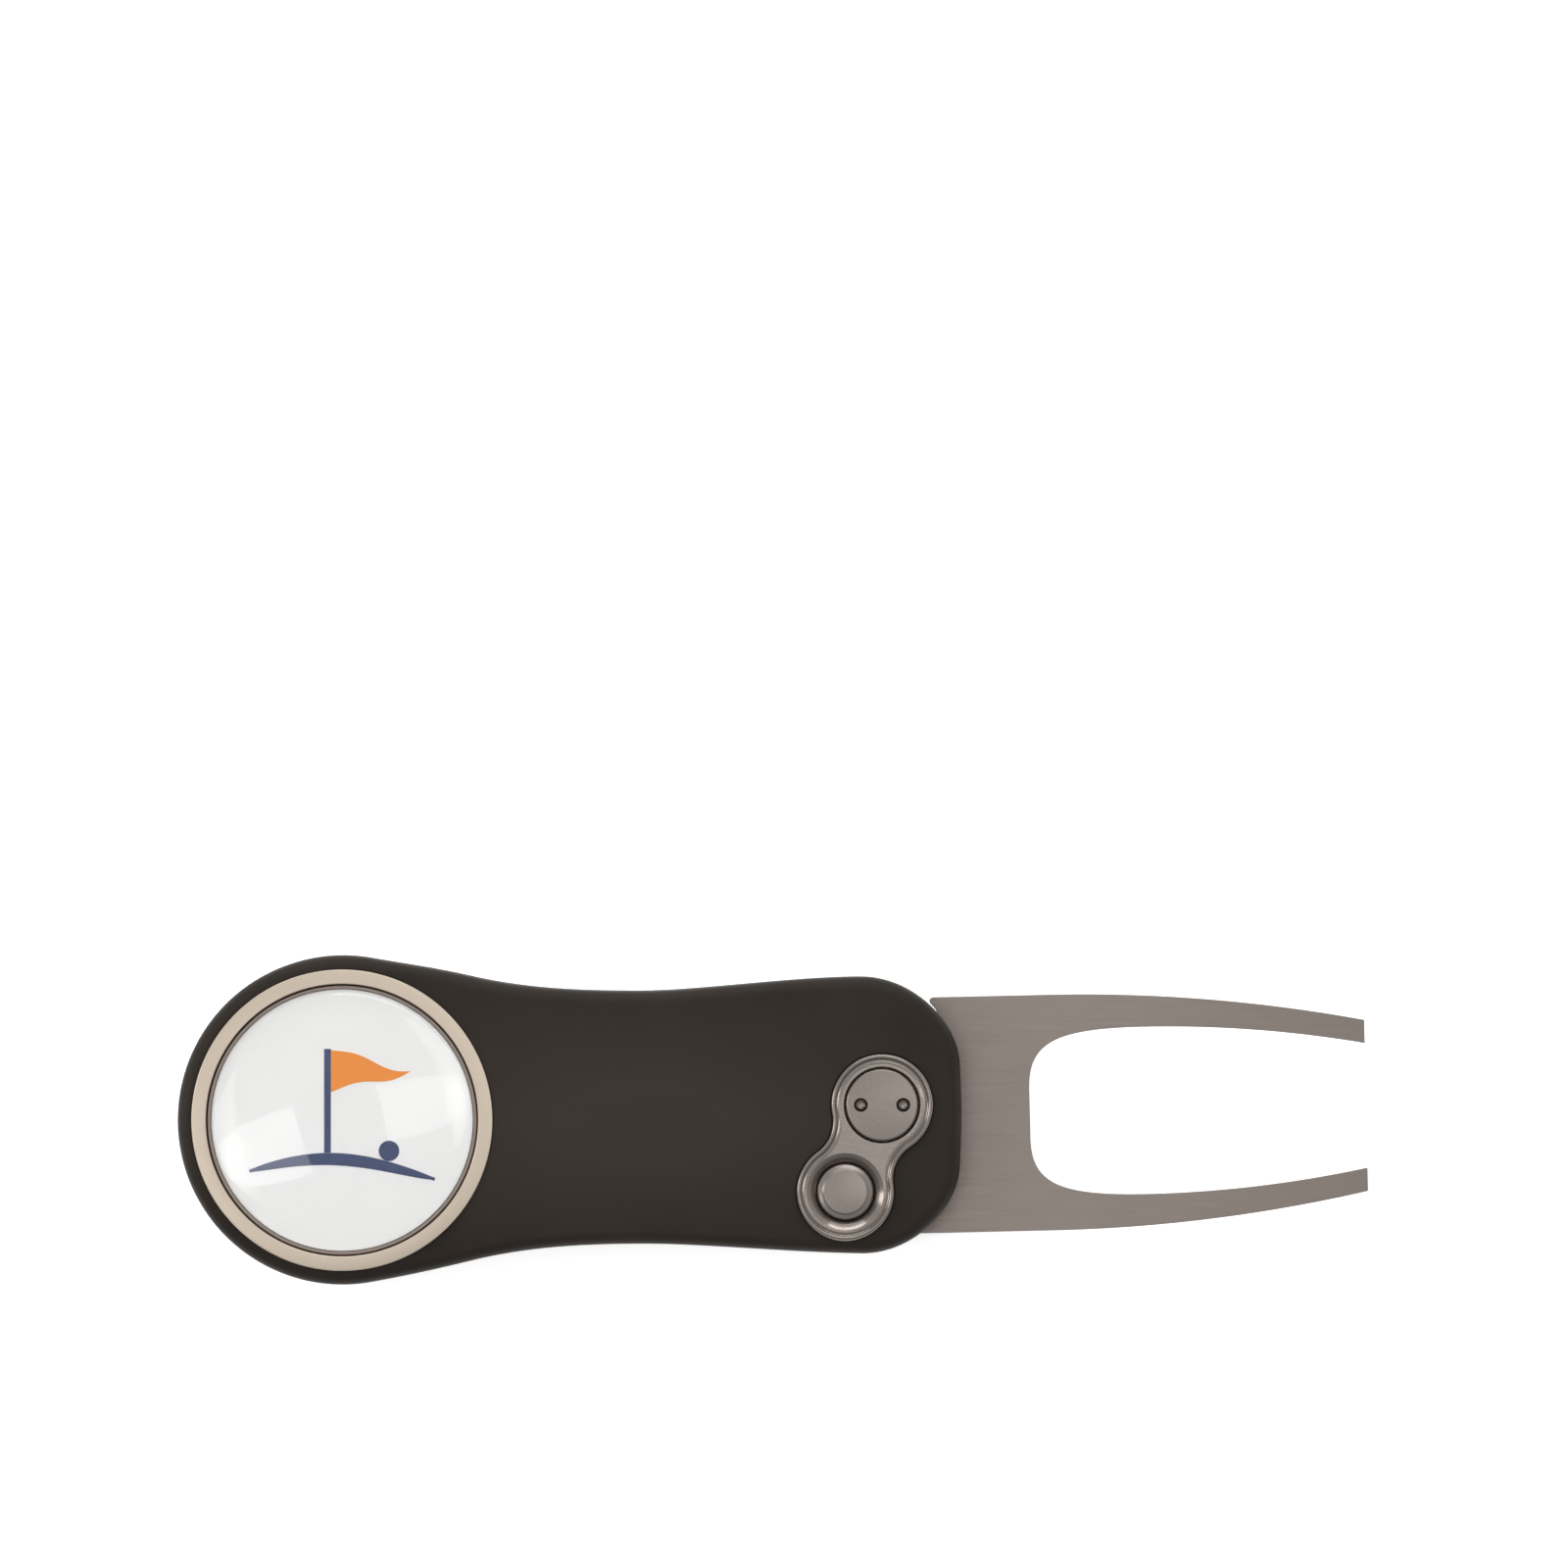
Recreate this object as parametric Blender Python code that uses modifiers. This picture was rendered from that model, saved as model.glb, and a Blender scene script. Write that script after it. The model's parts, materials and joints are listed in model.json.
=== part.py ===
"""A pocket divot repair tool for golfers, open and lying on its back.

Two moulded shells, a front and a rear one, sandwich a steel fork that folds like a pocket
knife about a pivot screw near one end. Spacers along one side and round the head keep the
shells apart. A torsion spring throws the fork open, and a button beside the pivot carries a
lock pin whose collar sits in a notch of the fork. The round head holds a magnetic ball
marker in front and a small pencil sharpener between the shells.

The frame: +X towards the fork's tips, +Y across, +Z out of the front face. The origin is
under the middle of the open tool, on the plane that it lies on. Dimensions are millimetres.
"""

import math

import bmesh
import bpy
from mathutils import Vector
from mathutils.geometry import interpolate_bezier

MM = 0.001

# The handle: a round head, a waist and a rounded pivot end.
HEAD_X = -40.07
HEAD_RADIUS = 15.3
HANDLE_RIGHT = 17.49
HANDLE_END_Y = 0.46
THICKNESS = 12.6
EDGE_ROUNDING = 1.3
BELOW = -3.0
ABOVE = THICKNESS + 3.0

# The slot for the fork, the play between faces that touch, and round pins and screws.
SLOT_LOW = 4.8
SLOT_HIGH = 7.8
SEAM = 0.05
PLAY = 0.15

# The fork and its pivot. The fork's own frame has u along the fork and v across it.
PIVOT_X = 10.11
PIVOT_Y = 1.42
REST_TILT = 1.3
FOLD_ANGLE = 182.0
WASHER = 0.24
FORK_LOW = SLOT_LOW + WASHER + 2 * SEAM
FORK_HIGH = SLOT_HIGH - WASHER - 2 * SEAM
FORK_MIDDLE_V = -1.11
FORK_TIP_U = 45.06
FORK_BODY_HALF = 10.97
FORK_FLARE_U = 16.0
FORK_TIP_HALF = 7.97
WINDOW_START_U = 13.75
WINDOW_START_HALF = 2.3
WINDOW_WIDEST_U = 24.4
WINDOW_HALF = 7.78
WINDOW_TIP_HALF = 5.79
WINDOW_CORNER_ACROSS = 4.2
WINDOW_CORNER_ALONG = 8.2
SHOULDER_U = 4.65
SHOULDER_ROUNDING = 0.35
SHOULDER_SLANT = 37.0
HEEL_U = -2.5
HEEL_ROUNDING = 1.3
HEEL_SLANT = -25.0

# The lock button, placed from the pivot.
BUTTON_FROM_PIVOT = 8.76
BUTTON_ANGLE = 247.1
BUTTON_RADIUS = 2.65
BUTTON_TOP = 12.95
BUTTON_TRAVEL = 1.6
BUTTON_FLANGE_RADIUS = 3.2
BUTTON_FLANGE_LOW = SLOT_HIGH + BUTTON_TRAVEL + SEAM
BUTTON_FLANGE_HIGH = BUTTON_FLANGE_LOW + 0.5
COLLAR_RADIUS = 1.4
COLLAR_LOW = 5.0
COLLAR_HIGH = 6.5
NOTCH_RADIUS = 1.58
TANG_RADIUS = BUTTON_FROM_PIVOT - NOTCH_RADIUS
LOCK_PIN_RADIUS = 0.9
LOCK_PIN_TOP = 11.5
LOCK_TAIL_RADIUS = 0.7
LOCK_TAIL_LOW = 3.5

# The pivot screw and the barrel nut that it screws into.
BARREL_RADIUS = 2.5
BARREL_TOP = 10.6
BARREL_FLANGE_RADIUS = 4.0
BARREL_FLANGE_LOW = 0.3
BARREL_FLANGE_HIGH = 1.5
BARREL_CHAMFER = 0.3
THREAD_BOTTOM = 3.0
DRIVER_SLOT_HALF = 0.5
DRIVER_SLOT_TOP = 0.9
SCREW_HEAD_RADIUS = 3.375
SCREW_HEAD_LOW = 11.7
SCREW_HEAD_TOP = 12.9
SCREW_SHANK_RADIUS = 1.5
SCREW_END = 3.8
SCREW_END_CHAMFER = 0.4
SPANNER_HOLE_RADIUS = 0.6
SPANNER_HOLE_DEPTH = 0.7
SPANNER_HOLE_OUT = 1.97
REAR_WASHER_RADII = (4.45, 6.2)
FRONT_WASHER_RADII = (2.65, 5.0)

# The escutcheon: a plate shaped like an 8 round the screw and the button.
PLATE_LOW = 11.0
PLATE_WEB = 12.85
PLATE_TOP = 13.2
PLATE_PIVOT_RADIUS = 4.82
PLATE_BUTTON_RADIUS = 4.62
PLATE_FILLET = 3.4
PLATE_RIM = 0.75
CAP_HOLE_RADIUS = BUTTON_RADIUS + 0.25
DISH_LOW = 11.45
DISH_LOW_RADIUS = 2.5
DISH_TOP = 13.0
DISH_TOP_RADIUS = 3.9

# The ball marker in its ring, and the magnet under it.
POCKET_FLOOR = 10.85
RING_OUTER = 13.95
RING_INNER = 12.7
RING_TOP = 12.9
MARKER_RADIUS = 12.5
MARKER_TOP = 12.0
MARKER_DISH = 11.75
PRINT_RADIUS = 12.15
PRINT_LOW = 11.8
PRINT_HIGH = 11.9
DOME_FOOT = 11.95
DOME_SHOULDER = 12.45
DOME_CROWN = 13.1
MAGNET_RADIUS = 4.0
MAGNET_LOW = 9.2
MAGNET_HIGH = 10.7

# The pencil sharpener, turned about an axis along X.
SHARPENER_X = -54.7
SHARPENER_Z = 5.4
SHARPENER_LENGTH = 17.2
SHARPENER_COLLAR = 4.5
SHARPENER_COLLAR_LENGTH = 2.0
SHARPENER_TAIL = 1.6
MOUTH_RADIUS = 3.7
MOUTH_LENGTH = 1.2
CONE_ANGLE = 12.0
CONE_END_RADIUS = 0.45

# The sharpener's blade lies on a flat that slopes with the cone, in a frame of its own with
# its middle this far in from the mouth and this far above the cone's side.
BLADE_IN = 8.3
BLADE_RISE = 0.35
BLADE_HALF_LENGTH = 5.0
BLADE_BACK = -3.2
BLADE_EDGE = 0.1
BLADE_THICKNESS = 0.5
BLADE_SCREW = (-0.3, -1.7)
BLADE_SCREW_HEAD = 1.2
BLADE_SCREW_SHANK = 0.5
BLADE_SCREW_END = -0.9
BLADE_ROOM_TOP = 1.55

# How many sides the marker's round pieces have.
ROUND_SIDES = 56

# The springs, and the pin beside the torsion spring's fixed leg.
TORSION_RADIUS = 3.45
TORSION_WIRE = 0.3
TORSION_START = 200.0
TORSION_TURNS = 2.25
TORSION_LOW = 3.2
TORSION_HIGH = 4.45
TORSION_RECESS = 4.3
TORSION_FLOOR = 2.85
TORSION_LEG = 4.5
PUSH_RADIUS = 1.35
PUSH_WIRE = 0.175
PUSH_TURNS = 3.5
PUSH_LOW = 1.6
PUSH_HIGH = 4.78
PUSH_FLOOR = 1.35
ANCHOR_RADIUS = 0.5
ANCHOR_LOW = 1.5
ANCHOR_TOP = 4.7

# The three case screws, driven in from the back: two in the head and one in the spine.
CASE_SCREWS = ((-43.5, 10.3), (-43.5, -10.3), (-31.6, -11.4))
CASE_HEAD_RADIUS = 1.75
CASE_HEAD_LOW = 0.4
CASE_HEAD_HIGH = 1.7
CASE_SHANK_RADIUS = 0.9
CASE_SHANK_TOP = 9.6
CASE_CROSS_LENGTH = 1.0
CASE_CROSS_HALF = 0.22
CASE_CROSS_TOP = 1.0

BUTTON_X = PIVOT_X + BUTTON_FROM_PIVOT * math.cos(math.radians(BUTTON_ANGLE))
BUTTON_Y = PIVOT_Y + BUTTON_FROM_PIVOT * math.sin(math.radians(BUTTON_ANGLE))

# Finishes: linear colour, roughness, metallic.
SOFT_BLACK = ((0.040, 0.034, 0.030), 0.62, 0.0)
SPACER_BLACK = ((0.030, 0.027, 0.025), 0.55, 0.0)
CHAMPAGNE = ((0.62, 0.53, 0.44), 0.34, 1.0)
FORK_GREY = ((0.26, 0.225, 0.200), 0.42, 0.8)
TRIM_GREY = ((0.33, 0.290, 0.260), 0.30, 0.9)
STEEL = ((0.48, 0.48, 0.49), 0.32, 1.0)
MARKER_BRONZE = ((0.16, 0.125, 0.110), 0.35, 0.9)
LABEL_WHITE = ((0.86, 0.86, 0.86), 0.60, 0.0)
CLEAR_RESIN = ((0.90, 0.90, 0.90), 0.06, 0.0)
MAGNET_NICKEL = ((0.50, 0.50, 0.50), 0.25, 1.0)
BRONZE = ((0.45, 0.28, 0.12), 0.40, 1.0)


# ---------------------------------------------------------------- the scene


def clear_scene():
    for obj in list(bpy.data.objects):
        bpy.data.objects.remove(obj, do_unlink=True)


def new_collection(name):
    collection = bpy.data.collections.new(name)
    bpy.context.scene.collection.children.link(collection)
    return collection


def new_axis(name, x, y, turned_by=0.0, parent=None):
    """An empty that stands on a joint's axis, or marks the tool's own frame."""
    axis = bpy.data.objects.new(name, None)
    axis.empty_display_size = 5 * MM
    axis.location = (x * MM, y * MM, 0)
    axis.rotation_euler = (0, 0, math.radians(turned_by))
    axis.parent = parent
    tool.objects.link(axis)
    return axis


def finish_of(name, colour, roughness, metallic):
    material = bpy.data.materials.new(name + "_finish")
    material.use_nodes = True
    shader = material.node_tree.nodes["Principled BSDF"]
    shader.inputs["Base Color"].default_value = (*colour, 1)
    shader.inputs["Roughness"].default_value = roughness
    shader.inputs["Metallic"].default_value = metallic
    material.diffuse_color = (*colour, 1)
    return material


def make_part(obj, finish, parent):
    """Puts an object among the tool's parts, with a finish of its own."""
    tool.objects.link(obj)
    obj.parent = parent
    obj.data.materials.clear()
    obj.data.materials.append(finish_of(obj.name, *finish))
    if obj.type == "MESH":
        obj.data.shade_smooth()
        obj.data.set_sharp_from_angle(angle=math.radians(35))
    return obj


def make_cutter(obj, parent=None):
    cutters.objects.link(obj)
    obj.parent = parent
    obj.hide_render = True
    obj.display_type = "WIRE"
    return obj


def combine(obj, operation, *others):
    for other in others:
        modifier = obj.modifiers.new(operation.lower(), "BOOLEAN")
        modifier.operation = operation
        modifier.solver = "EXACT"
        modifier.object = other


# ---------------------------------------------------------------- flat outlines


def smooth(x, y, heading, back, ahead):
    """A knot of an outline, with the reach of its two handles along its heading."""
    way = Vector((math.cos(math.radians(heading)), math.sin(math.radians(heading)), 0))
    point = Vector((x, y, 0))
    return point - way * back, point, point + way * ahead


def corner(x, y):
    return smooth(x, y, 0, 0, 0)


def arc(x, y, radius, start, end, before=0.0, after=0.0):
    """Knots along a circular arc, anticlockwise if end is more than start."""
    pieces = max(1, math.ceil(abs(end - start) / 91))
    reach = 4 / 3 * math.tan(math.radians(abs(end - start) / pieces) / 4) * radius
    turn = 90 if end > start else -90
    knots = []
    for i in range(pieces + 1):
        angle = start + (end - start) * i / pieces
        back = before if i == 0 else reach
        ahead = after if i == pieces else reach
        px = x + radius * math.cos(math.radians(angle))
        py = y + radius * math.sin(math.radians(angle))
        knots.append(smooth(px, py, angle + turn, back, ahead))
    return knots


def chain(*stretches, closed=False):
    """Joins stretches end to end: where two meet, one knot takes the handles of both."""
    knots = list(stretches[0])
    for stretch in stretches[1:]:
        back, point, _ = knots[-1]
        knots[-1] = (back, point, stretch[0][2])
        knots += stretch[1:]
    if closed:
        back, point, _ = knots.pop()
        knots[0] = (back, point, knots[0][2])
    return knots


def outline_points(knots, steps):
    """The points of a closed outline; a stretch with no handles is one straight side."""
    points = []
    for i, (_, start, start_handle) in enumerate(knots):
        end_handle, end, _ = knots[(i + 1) % len(knots)]
        if (start_handle - start).length < 1e-6 and (end_handle - end).length < 1e-6:
            points.append(start)
        else:
            points += interpolate_bezier(start, start_handle, end_handle, end, steps + 1)[:-1]
    return points


def plate(name, loops, low, high, rounding=0.0, steps=6):
    """A flat outline given a thickness, and rounded top and bottom edges if asked."""
    curve = bpy.data.curves.new(name + "_outline", "CURVE")
    curve.dimensions = "2D"
    curve.fill_mode = "BOTH"
    curve.extrude = ((high - low) / 2 - rounding) * MM
    curve.bevel_depth = rounding * MM
    curve.bevel_resolution = 1
    curve.offset = -rounding * MM
    for knots in loops:
        points = outline_points(knots, steps)
        spline = curve.splines.new("POLY")
        spline.points.add(len(points) - 1)
        spline.use_cyclic_u = True
        for spline_point, point in zip(spline.points, points):
            spline_point.co = (point.x * MM, point.y * MM, 0, 1)
    outline = bpy.data.objects.new(name + "_outline", curve)
    outline.location.z = (low + high) / 2 * MM
    bpy.context.scene.collection.objects.link(outline)
    graph = bpy.context.evaluated_depsgraph_get()
    mesh = bpy.data.meshes.new_from_object(outline.evaluated_get(graph))
    mesh.name = name
    obj = bpy.data.objects.new(name, mesh)
    obj.matrix_world = outline.matrix_world
    bpy.data.objects.remove(outline)
    body = bmesh.new()
    body.from_mesh(mesh)
    bmesh.ops.remove_doubles(body, verts=body.verts, dist=0.001 * MM)
    bmesh.ops.recalc_face_normals(body, faces=body.faces)
    body.to_mesh(mesh)
    body.free()
    return obj


# ---------------------------------------------------------------- round and boxed shapes


def drum(name, radius, low, high, x=0.0, y=0.0, top_radius=None, sides=32):
    """A cylinder or cone standing along Z."""
    body = bmesh.new()
    bmesh.ops.create_cone(
        body,
        cap_ends=True,
        segments=sides,
        radius1=radius * MM,
        radius2=(radius if top_radius is None else top_radius) * MM,
        depth=(high - low) * MM,
    )
    mesh = bpy.data.meshes.new(name)
    body.to_mesh(mesh)
    body.free()
    obj = bpy.data.objects.new(name, mesh)
    obj.location = (x * MM, y * MM, (low + high) / 2 * MM)
    return obj


def block(name, low, high):
    """A box between two corners."""
    body = bmesh.new()
    bmesh.ops.create_cube(body, size=1)
    size = [(b - a) * MM for a, b in zip(low, high)]
    bmesh.ops.scale(body, vec=size, verts=body.verts)
    mesh = bpy.data.meshes.new(name)
    body.to_mesh(mesh)
    body.free()
    obj = bpy.data.objects.new(name, mesh)
    obj.location = [(a + b) / 2 * MM for a, b in zip(low, high)]
    return obj


def turned(name, profile, x=0.0, y=0.0, closed=False, sides=36):
    """A turned shape. The profile is (radius, height), down its outer side; it is closed
    on itself for a ring, and otherwise starts and ends on the axis."""
    body = bmesh.new()
    verts = [body.verts.new((radius * MM, 0, height * MM)) for radius, height in profile]
    pairs = list(zip(verts, verts[1:]))
    if closed:
        pairs.append((verts[-1], verts[0]))
    for pair in pairs:
        body.edges.new(pair)
    mesh = bpy.data.meshes.new(name)
    body.to_mesh(mesh)
    body.free()
    obj = bpy.data.objects.new(name, mesh)
    obj.location = (x * MM, y * MM, 0)
    screw = obj.modifiers.new("turn", "SCREW")
    screw.axis = "Z"
    screw.steps = sides
    screw.render_steps = sides
    screw.use_merge_vertices = True
    screw.merge_threshold = 0.000001
    screw.use_smooth_shade = True
    return obj


def washer_profile(radii, low, high):
    inner, outer = radii
    return (outer, high), (outer, low), (inner, low), (inner, high)


def wire(name, points, radius, x, y):
    """A wire through points, as a curve with a round section and filled ends."""
    curve = bpy.data.curves.new(name, "CURVE")
    curve.dimensions = "3D"
    curve.bevel_depth = radius * MM
    curve.bevel_resolution = 2
    curve.use_fill_caps = True
    spline = curve.splines.new("POLY")
    spline.points.add(len(points) - 1)
    for spline_point, point in zip(spline.points, points):
        spline_point.co = (point[0] * MM, point[1] * MM, point[2] * MM, 1)
    obj = bpy.data.objects.new(name, curve)
    obj.location = (x * MM, y * MM, 0)
    return obj


def coil_points(radius, start_angle, turns, low, high, steps=16):
    count = round(turns * steps)
    points = []
    for i in range(count + 1):
        angle = math.radians(start_angle + 360 * turns * i / count)
        height = low + (high - low) * i / count
        points.append((radius * math.cos(angle), radius * math.sin(angle), height))
    return points


# ---------------------------------------------------------------- the handle's outline


def handle_knots():
    """Anticlockwise from the top of the head: the head, the lower side, the pivot end and
    the upper side."""
    return [
        *arc(HEAD_X, 0, HEAD_RADIUS, 80, 280, 3.2, 3.2),
        smooth(-28.2, -13.1, 13.8, 3.2, 5.2),
        smooth(-11.75, -11.5, 0, 6.5, 5.0),
        smooth(8.2, HANDLE_END_Y - 12.86, -1.0, 7.0, 4.65),
        smooth(HANDLE_RIGHT - 0.14, HANDLE_END_Y - 4.8, 87, 4.05, 1.5),
        smooth(HANDLE_RIGHT, HANDLE_END_Y, 90, 1.6, 1.6),
        smooth(HANDLE_RIGHT - 0.14, HANDLE_END_Y + 4.8, 93, 1.5, 4.05),
        smooth(8.2, HANDLE_END_Y + 12.86, 180, 4.65, 6.5),
        smooth(-12.5, 12.0, 180, 5.5, 6.0),
        smooth(-28.2, 13.4, 167, 5.2, 3.2),
    ]


def escutcheon_knots(grow):
    """The plate's 8: two lobes joined by fillets, grown by a margin."""
    pivot_radius = PLATE_PIVOT_RADIUS + grow
    button_radius = PLATE_BUTTON_RADIUS + grow
    fillet = PLATE_FILLET - grow
    from_pivot = pivot_radius + fillet
    from_button = button_radius + fillet
    apart = BUTTON_FROM_PIVOT
    # The fillets' centres, by the cosine rule in the triangle of the three centres.
    cosine = (from_pivot**2 + apart**2 - from_button**2) / (2 * from_pivot * apart)
    at_pivot = math.degrees(math.acos(cosine))
    cosine = (from_button**2 + apart**2 - from_pivot**2) / (2 * from_button * apart)
    at_button = math.degrees(math.acos(cosine))
    first = math.radians(BUTTON_ANGLE - at_pivot)
    second = math.radians(BUTTON_ANGLE + at_pivot)
    return chain(
        arc(0, 0, pivot_radius, BUTTON_ANGLE + at_pivot - 360, BUTTON_ANGLE - at_pivot),
        arc(
            from_pivot * math.cos(first),
            from_pivot * math.sin(first),
            fillet,
            BUTTON_ANGLE - at_pivot + 180,
            BUTTON_ANGLE + at_button,
        ),
        arc(
            BUTTON_X - PIVOT_X,
            BUTTON_Y - PIVOT_Y,
            button_radius,
            BUTTON_ANGLE + at_button - 180,
            BUTTON_ANGLE + 180 - at_button,
        ),
        arc(
            from_pivot * math.cos(second),
            from_pivot * math.sin(second),
            fillet,
            BUTTON_ANGLE - at_button,
            BUTTON_ANGLE + at_pivot - 180,
        ),
        closed=True,
    )


# ---------------------------------------------------------------- the shells and spacers


def sharpener_profile(grow):
    """The outside of the sharpener body, grown by a margin, as (radius, distance)."""
    tail = SHARPENER_LENGTH + 2 * grow
    return (
        (0, tail),
        (SHARPENER_TAIL + grow, tail),
        (SHARPENER_COLLAR + grow, SHARPENER_COLLAR_LENGTH),
        (SHARPENER_COLLAR + grow, -4 * grow),
        (0, -4 * grow),
    )


def lay_along_x(obj):
    """Turns a shape made along Z so that it runs along +X from the sharpener's mouth."""
    obj.location = (SHARPENER_X * MM, 0, SHARPENER_Z * MM)
    obj.rotation_euler = (0, math.radians(90), 0)
    return obj


def cone_radius(distance):
    """The radius of the sharpener's cone this far in from its mouth."""
    return MOUTH_RADIUS - (distance - MOUTH_LENGTH) * math.tan(math.radians(CONE_ANGLE))


def new_blade_seat():
    """The frame of the flat that the blade lies on."""
    seat = new_axis("blade_seat", 0, 0, parent=handle)
    height = SHARPENER_Z + cone_radius(BLADE_IN) + BLADE_RISE
    seat.location = ((SHARPENER_X + BLADE_IN) * MM, 0, height * MM)
    seat.rotation_euler = (0, math.radians(CONE_ANGLE), 0)
    return seat


def sharpener_cavities():
    """Room in the shells for the sharpener body, and for its blade and screw."""
    hollow = lay_along_x(turned("sharpener_hollow", sharpener_profile(0.2)))
    ends = (-BLADE_HALF_LENGTH - 0.4, BLADE_HALF_LENGTH + 1.3)
    room = block("blade_room", (ends[0], -3.7, -3), (ends[1], 3.7, BLADE_ROOM_TOP))
    return make_cutter(hollow), make_cutter(room, blade_seat)


def case_screw_cutters(name, radius, low, high):
    found = []
    for number, (x, y) in enumerate(CASE_SCREWS, 1):
        hole = drum(f"{name}_{number}", radius, low, high, x, y, sides=20)
        found.append(make_cutter(hole))
    return found


def make_front_shell(sharpener_room):
    shell = plate("front_shell", [handle_knots()], 0, THICKNESS, EDGE_ROUNDING)
    make_part(shell, SOFT_BLACK, handle)
    front_half = make_cutter(block("front_half", (-70, -30, SLOT_HIGH), (40, 30, ABOVE)))
    combine(shell, "INTERSECT", front_half)
    recess = plate("escutcheon_recess", [escutcheon_knots(0.12)], PLATE_LOW - SEAM, ABOVE)
    cuts = [
        drum("marker_pocket", RING_OUTER + 0.12, POCKET_FLOOR, ABOVE, HEAD_X, sides=ROUND_SIDES),
        drum("magnet_pocket", MAGNET_RADIUS + PLAY, MAGNET_LOW - SEAM, ABOVE, HEAD_X),
        drum("front_barrel_hole", BARREL_RADIUS + PLAY, BELOW, ABOVE, PIVOT_X, PIVOT_Y),
        drum("button_hole", BUTTON_RADIUS + 0.3, BELOW, ABOVE, BUTTON_X, BUTTON_Y),
        drum(
            "button_flange_room", BUTTON_FLANGE_RADIUS + 0.2,
            BELOW, BUTTON_FLANGE_HIGH + SEAM, BUTTON_X, BUTTON_Y,
        ),
    ]
    for cutter in cuts:
        make_cutter(cutter)
    make_cutter(recess, pivot_place)
    pilots = case_screw_cutters("pilot_hole", CASE_SHANK_RADIUS + 0.1, BELOW, CASE_SHANK_TOP + 0.2)
    combine(shell, "DIFFERENCE", recess, *cuts, *pilots, *sharpener_room)


def make_rear_shell(sharpener_room):
    shell = plate("rear_shell", [handle_knots()], 0, THICKNESS, EDGE_ROUNDING)
    make_part(shell, SOFT_BLACK, handle)
    rear_half = make_cutter(block("rear_half", (-70, -30, BELOW), (40, 30, SLOT_LOW)))
    combine(shell, "INTERSECT", rear_half)
    pivot = (PIVOT_X, PIVOT_Y)
    button = (BUTTON_X, BUTTON_Y)
    pin_x, pin_y = anchor_place()
    cuts = [
        drum("rear_barrel_hole", BARREL_RADIUS + PLAY, BELOW, ABOVE, *pivot),
        drum(
            "barrel_flange_room", BARREL_FLANGE_RADIUS + PLAY,
            BELOW, BARREL_FLANGE_HIGH + SEAM, *pivot,
        ),
        drum("torsion_recess", TORSION_RECESS, TORSION_FLOOR, ABOVE, *pivot),
        drum("push_spring_bore", COLLAR_RADIUS + 0.3, PUSH_FLOOR, ABOVE, *button, sides=24),
        drum(
            "anchor_hole", ANCHOR_RADIUS + SEAM, ANCHOR_LOW - 0.1,
            ABOVE, PIVOT_X + pin_x, PIVOT_Y + pin_y, sides=16,
        ),
    ]
    for cutter in cuts:
        make_cutter(cutter)
    channel = make_cutter(leg_channel(), pivot_place)
    shanks = case_screw_cutters("shank_hole", CASE_SHANK_RADIUS + PLAY, BELOW, ABOVE)
    heads = case_screw_cutters(
        "head_hole", CASE_HEAD_RADIUS + PLAY, BELOW, CASE_HEAD_HIGH + SEAM
    )
    combine(shell, "DIFFERENCE", channel, *cuts, *shanks, *heads, sharpener_room[0])


def make_spacers():
    """The spine along the lower side, with its end where the fork's heel stops, and the
    spacer round the upper part of the head."""
    low = SLOT_LOW + SEAM
    high = SLOT_HIGH - SEAM
    beside = SHARPENER_COLLAR + 0.45
    spine_mask = plate(
        "spine_mask",
        [
            [
                corner(7.3, -20),
                corner(7.3, -9.9),
                smooth(4.5, -9.45, 180, 1.5, 5.0),
                smooth(-14, -9.95, 180, 7.0, 7.0),
                smooth(-35.6, -8.3, 172, 6.0, 0.0),
                smooth(-36.4, -7.5, 90, 0.5, 0.0),
                corner(-36.4, -beside),
                corner(-60, -beside),
                corner(-60, -20),
            ]
        ],
        BELOW,
        ABOVE,
    )
    head_mask = plate(
        "head_mask",
        [
            [
                corner(-60, beside),
                *arc(-38.4, beside + 1.8, 1.8, 270, 360),
                corner(-36.6, 20),
                corner(-60, 20),
            ]
        ],
        BELOW,
        ABOVE,
    )
    shanks = case_screw_cutters("spacer_hole", CASE_SHANK_RADIUS + PLAY, BELOW, ABOVE)
    for name, mask, holes in (
        ("spine_spacer", spine_mask, shanks[1:]),
        ("head_spacer", head_mask, shanks[:1]),
    ):
        spacer = plate(name, [handle_knots()], low, high)
        make_part(spacer, SPACER_BLACK, handle)
        combine(spacer, "INTERSECT", make_cutter(mask))
        combine(spacer, "DIFFERENCE", *holes)


def make_case_screws():
    profile = (
        (0, CASE_SHANK_TOP),
        (CASE_SHANK_RADIUS * 0.6, CASE_SHANK_TOP),
        (CASE_SHANK_RADIUS, CASE_SHANK_TOP - 0.6),
        (CASE_SHANK_RADIUS, CASE_HEAD_HIGH),
        (CASE_HEAD_RADIUS, CASE_HEAD_HIGH),
        (CASE_HEAD_RADIUS, CASE_HEAD_LOW + 0.2),
        (CASE_HEAD_RADIUS - 0.2, CASE_HEAD_LOW),
        (0, CASE_HEAD_LOW),
    )
    for number, (x, y) in enumerate(CASE_SCREWS, 1):
        screw = turned(f"case_screw_{number}", profile, x, y, sides=20)
        make_part(screw, STEEL, handle)
        for way, (half_x, half_y) in (
            ("along", (CASE_CROSS_LENGTH, CASE_CROSS_HALF)),
            ("across", (CASE_CROSS_HALF, CASE_CROSS_LENGTH)),
        ):
            low = (x - half_x, y - half_y, BELOW)
            bar = block(f"cross_{way}_{number}", low, (x + half_x, y + half_y, CASE_CROSS_TOP))
            combine(screw, "DIFFERENCE", make_cutter(bar))


# ---------------------------------------------------------------- the pivot and fork


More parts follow.
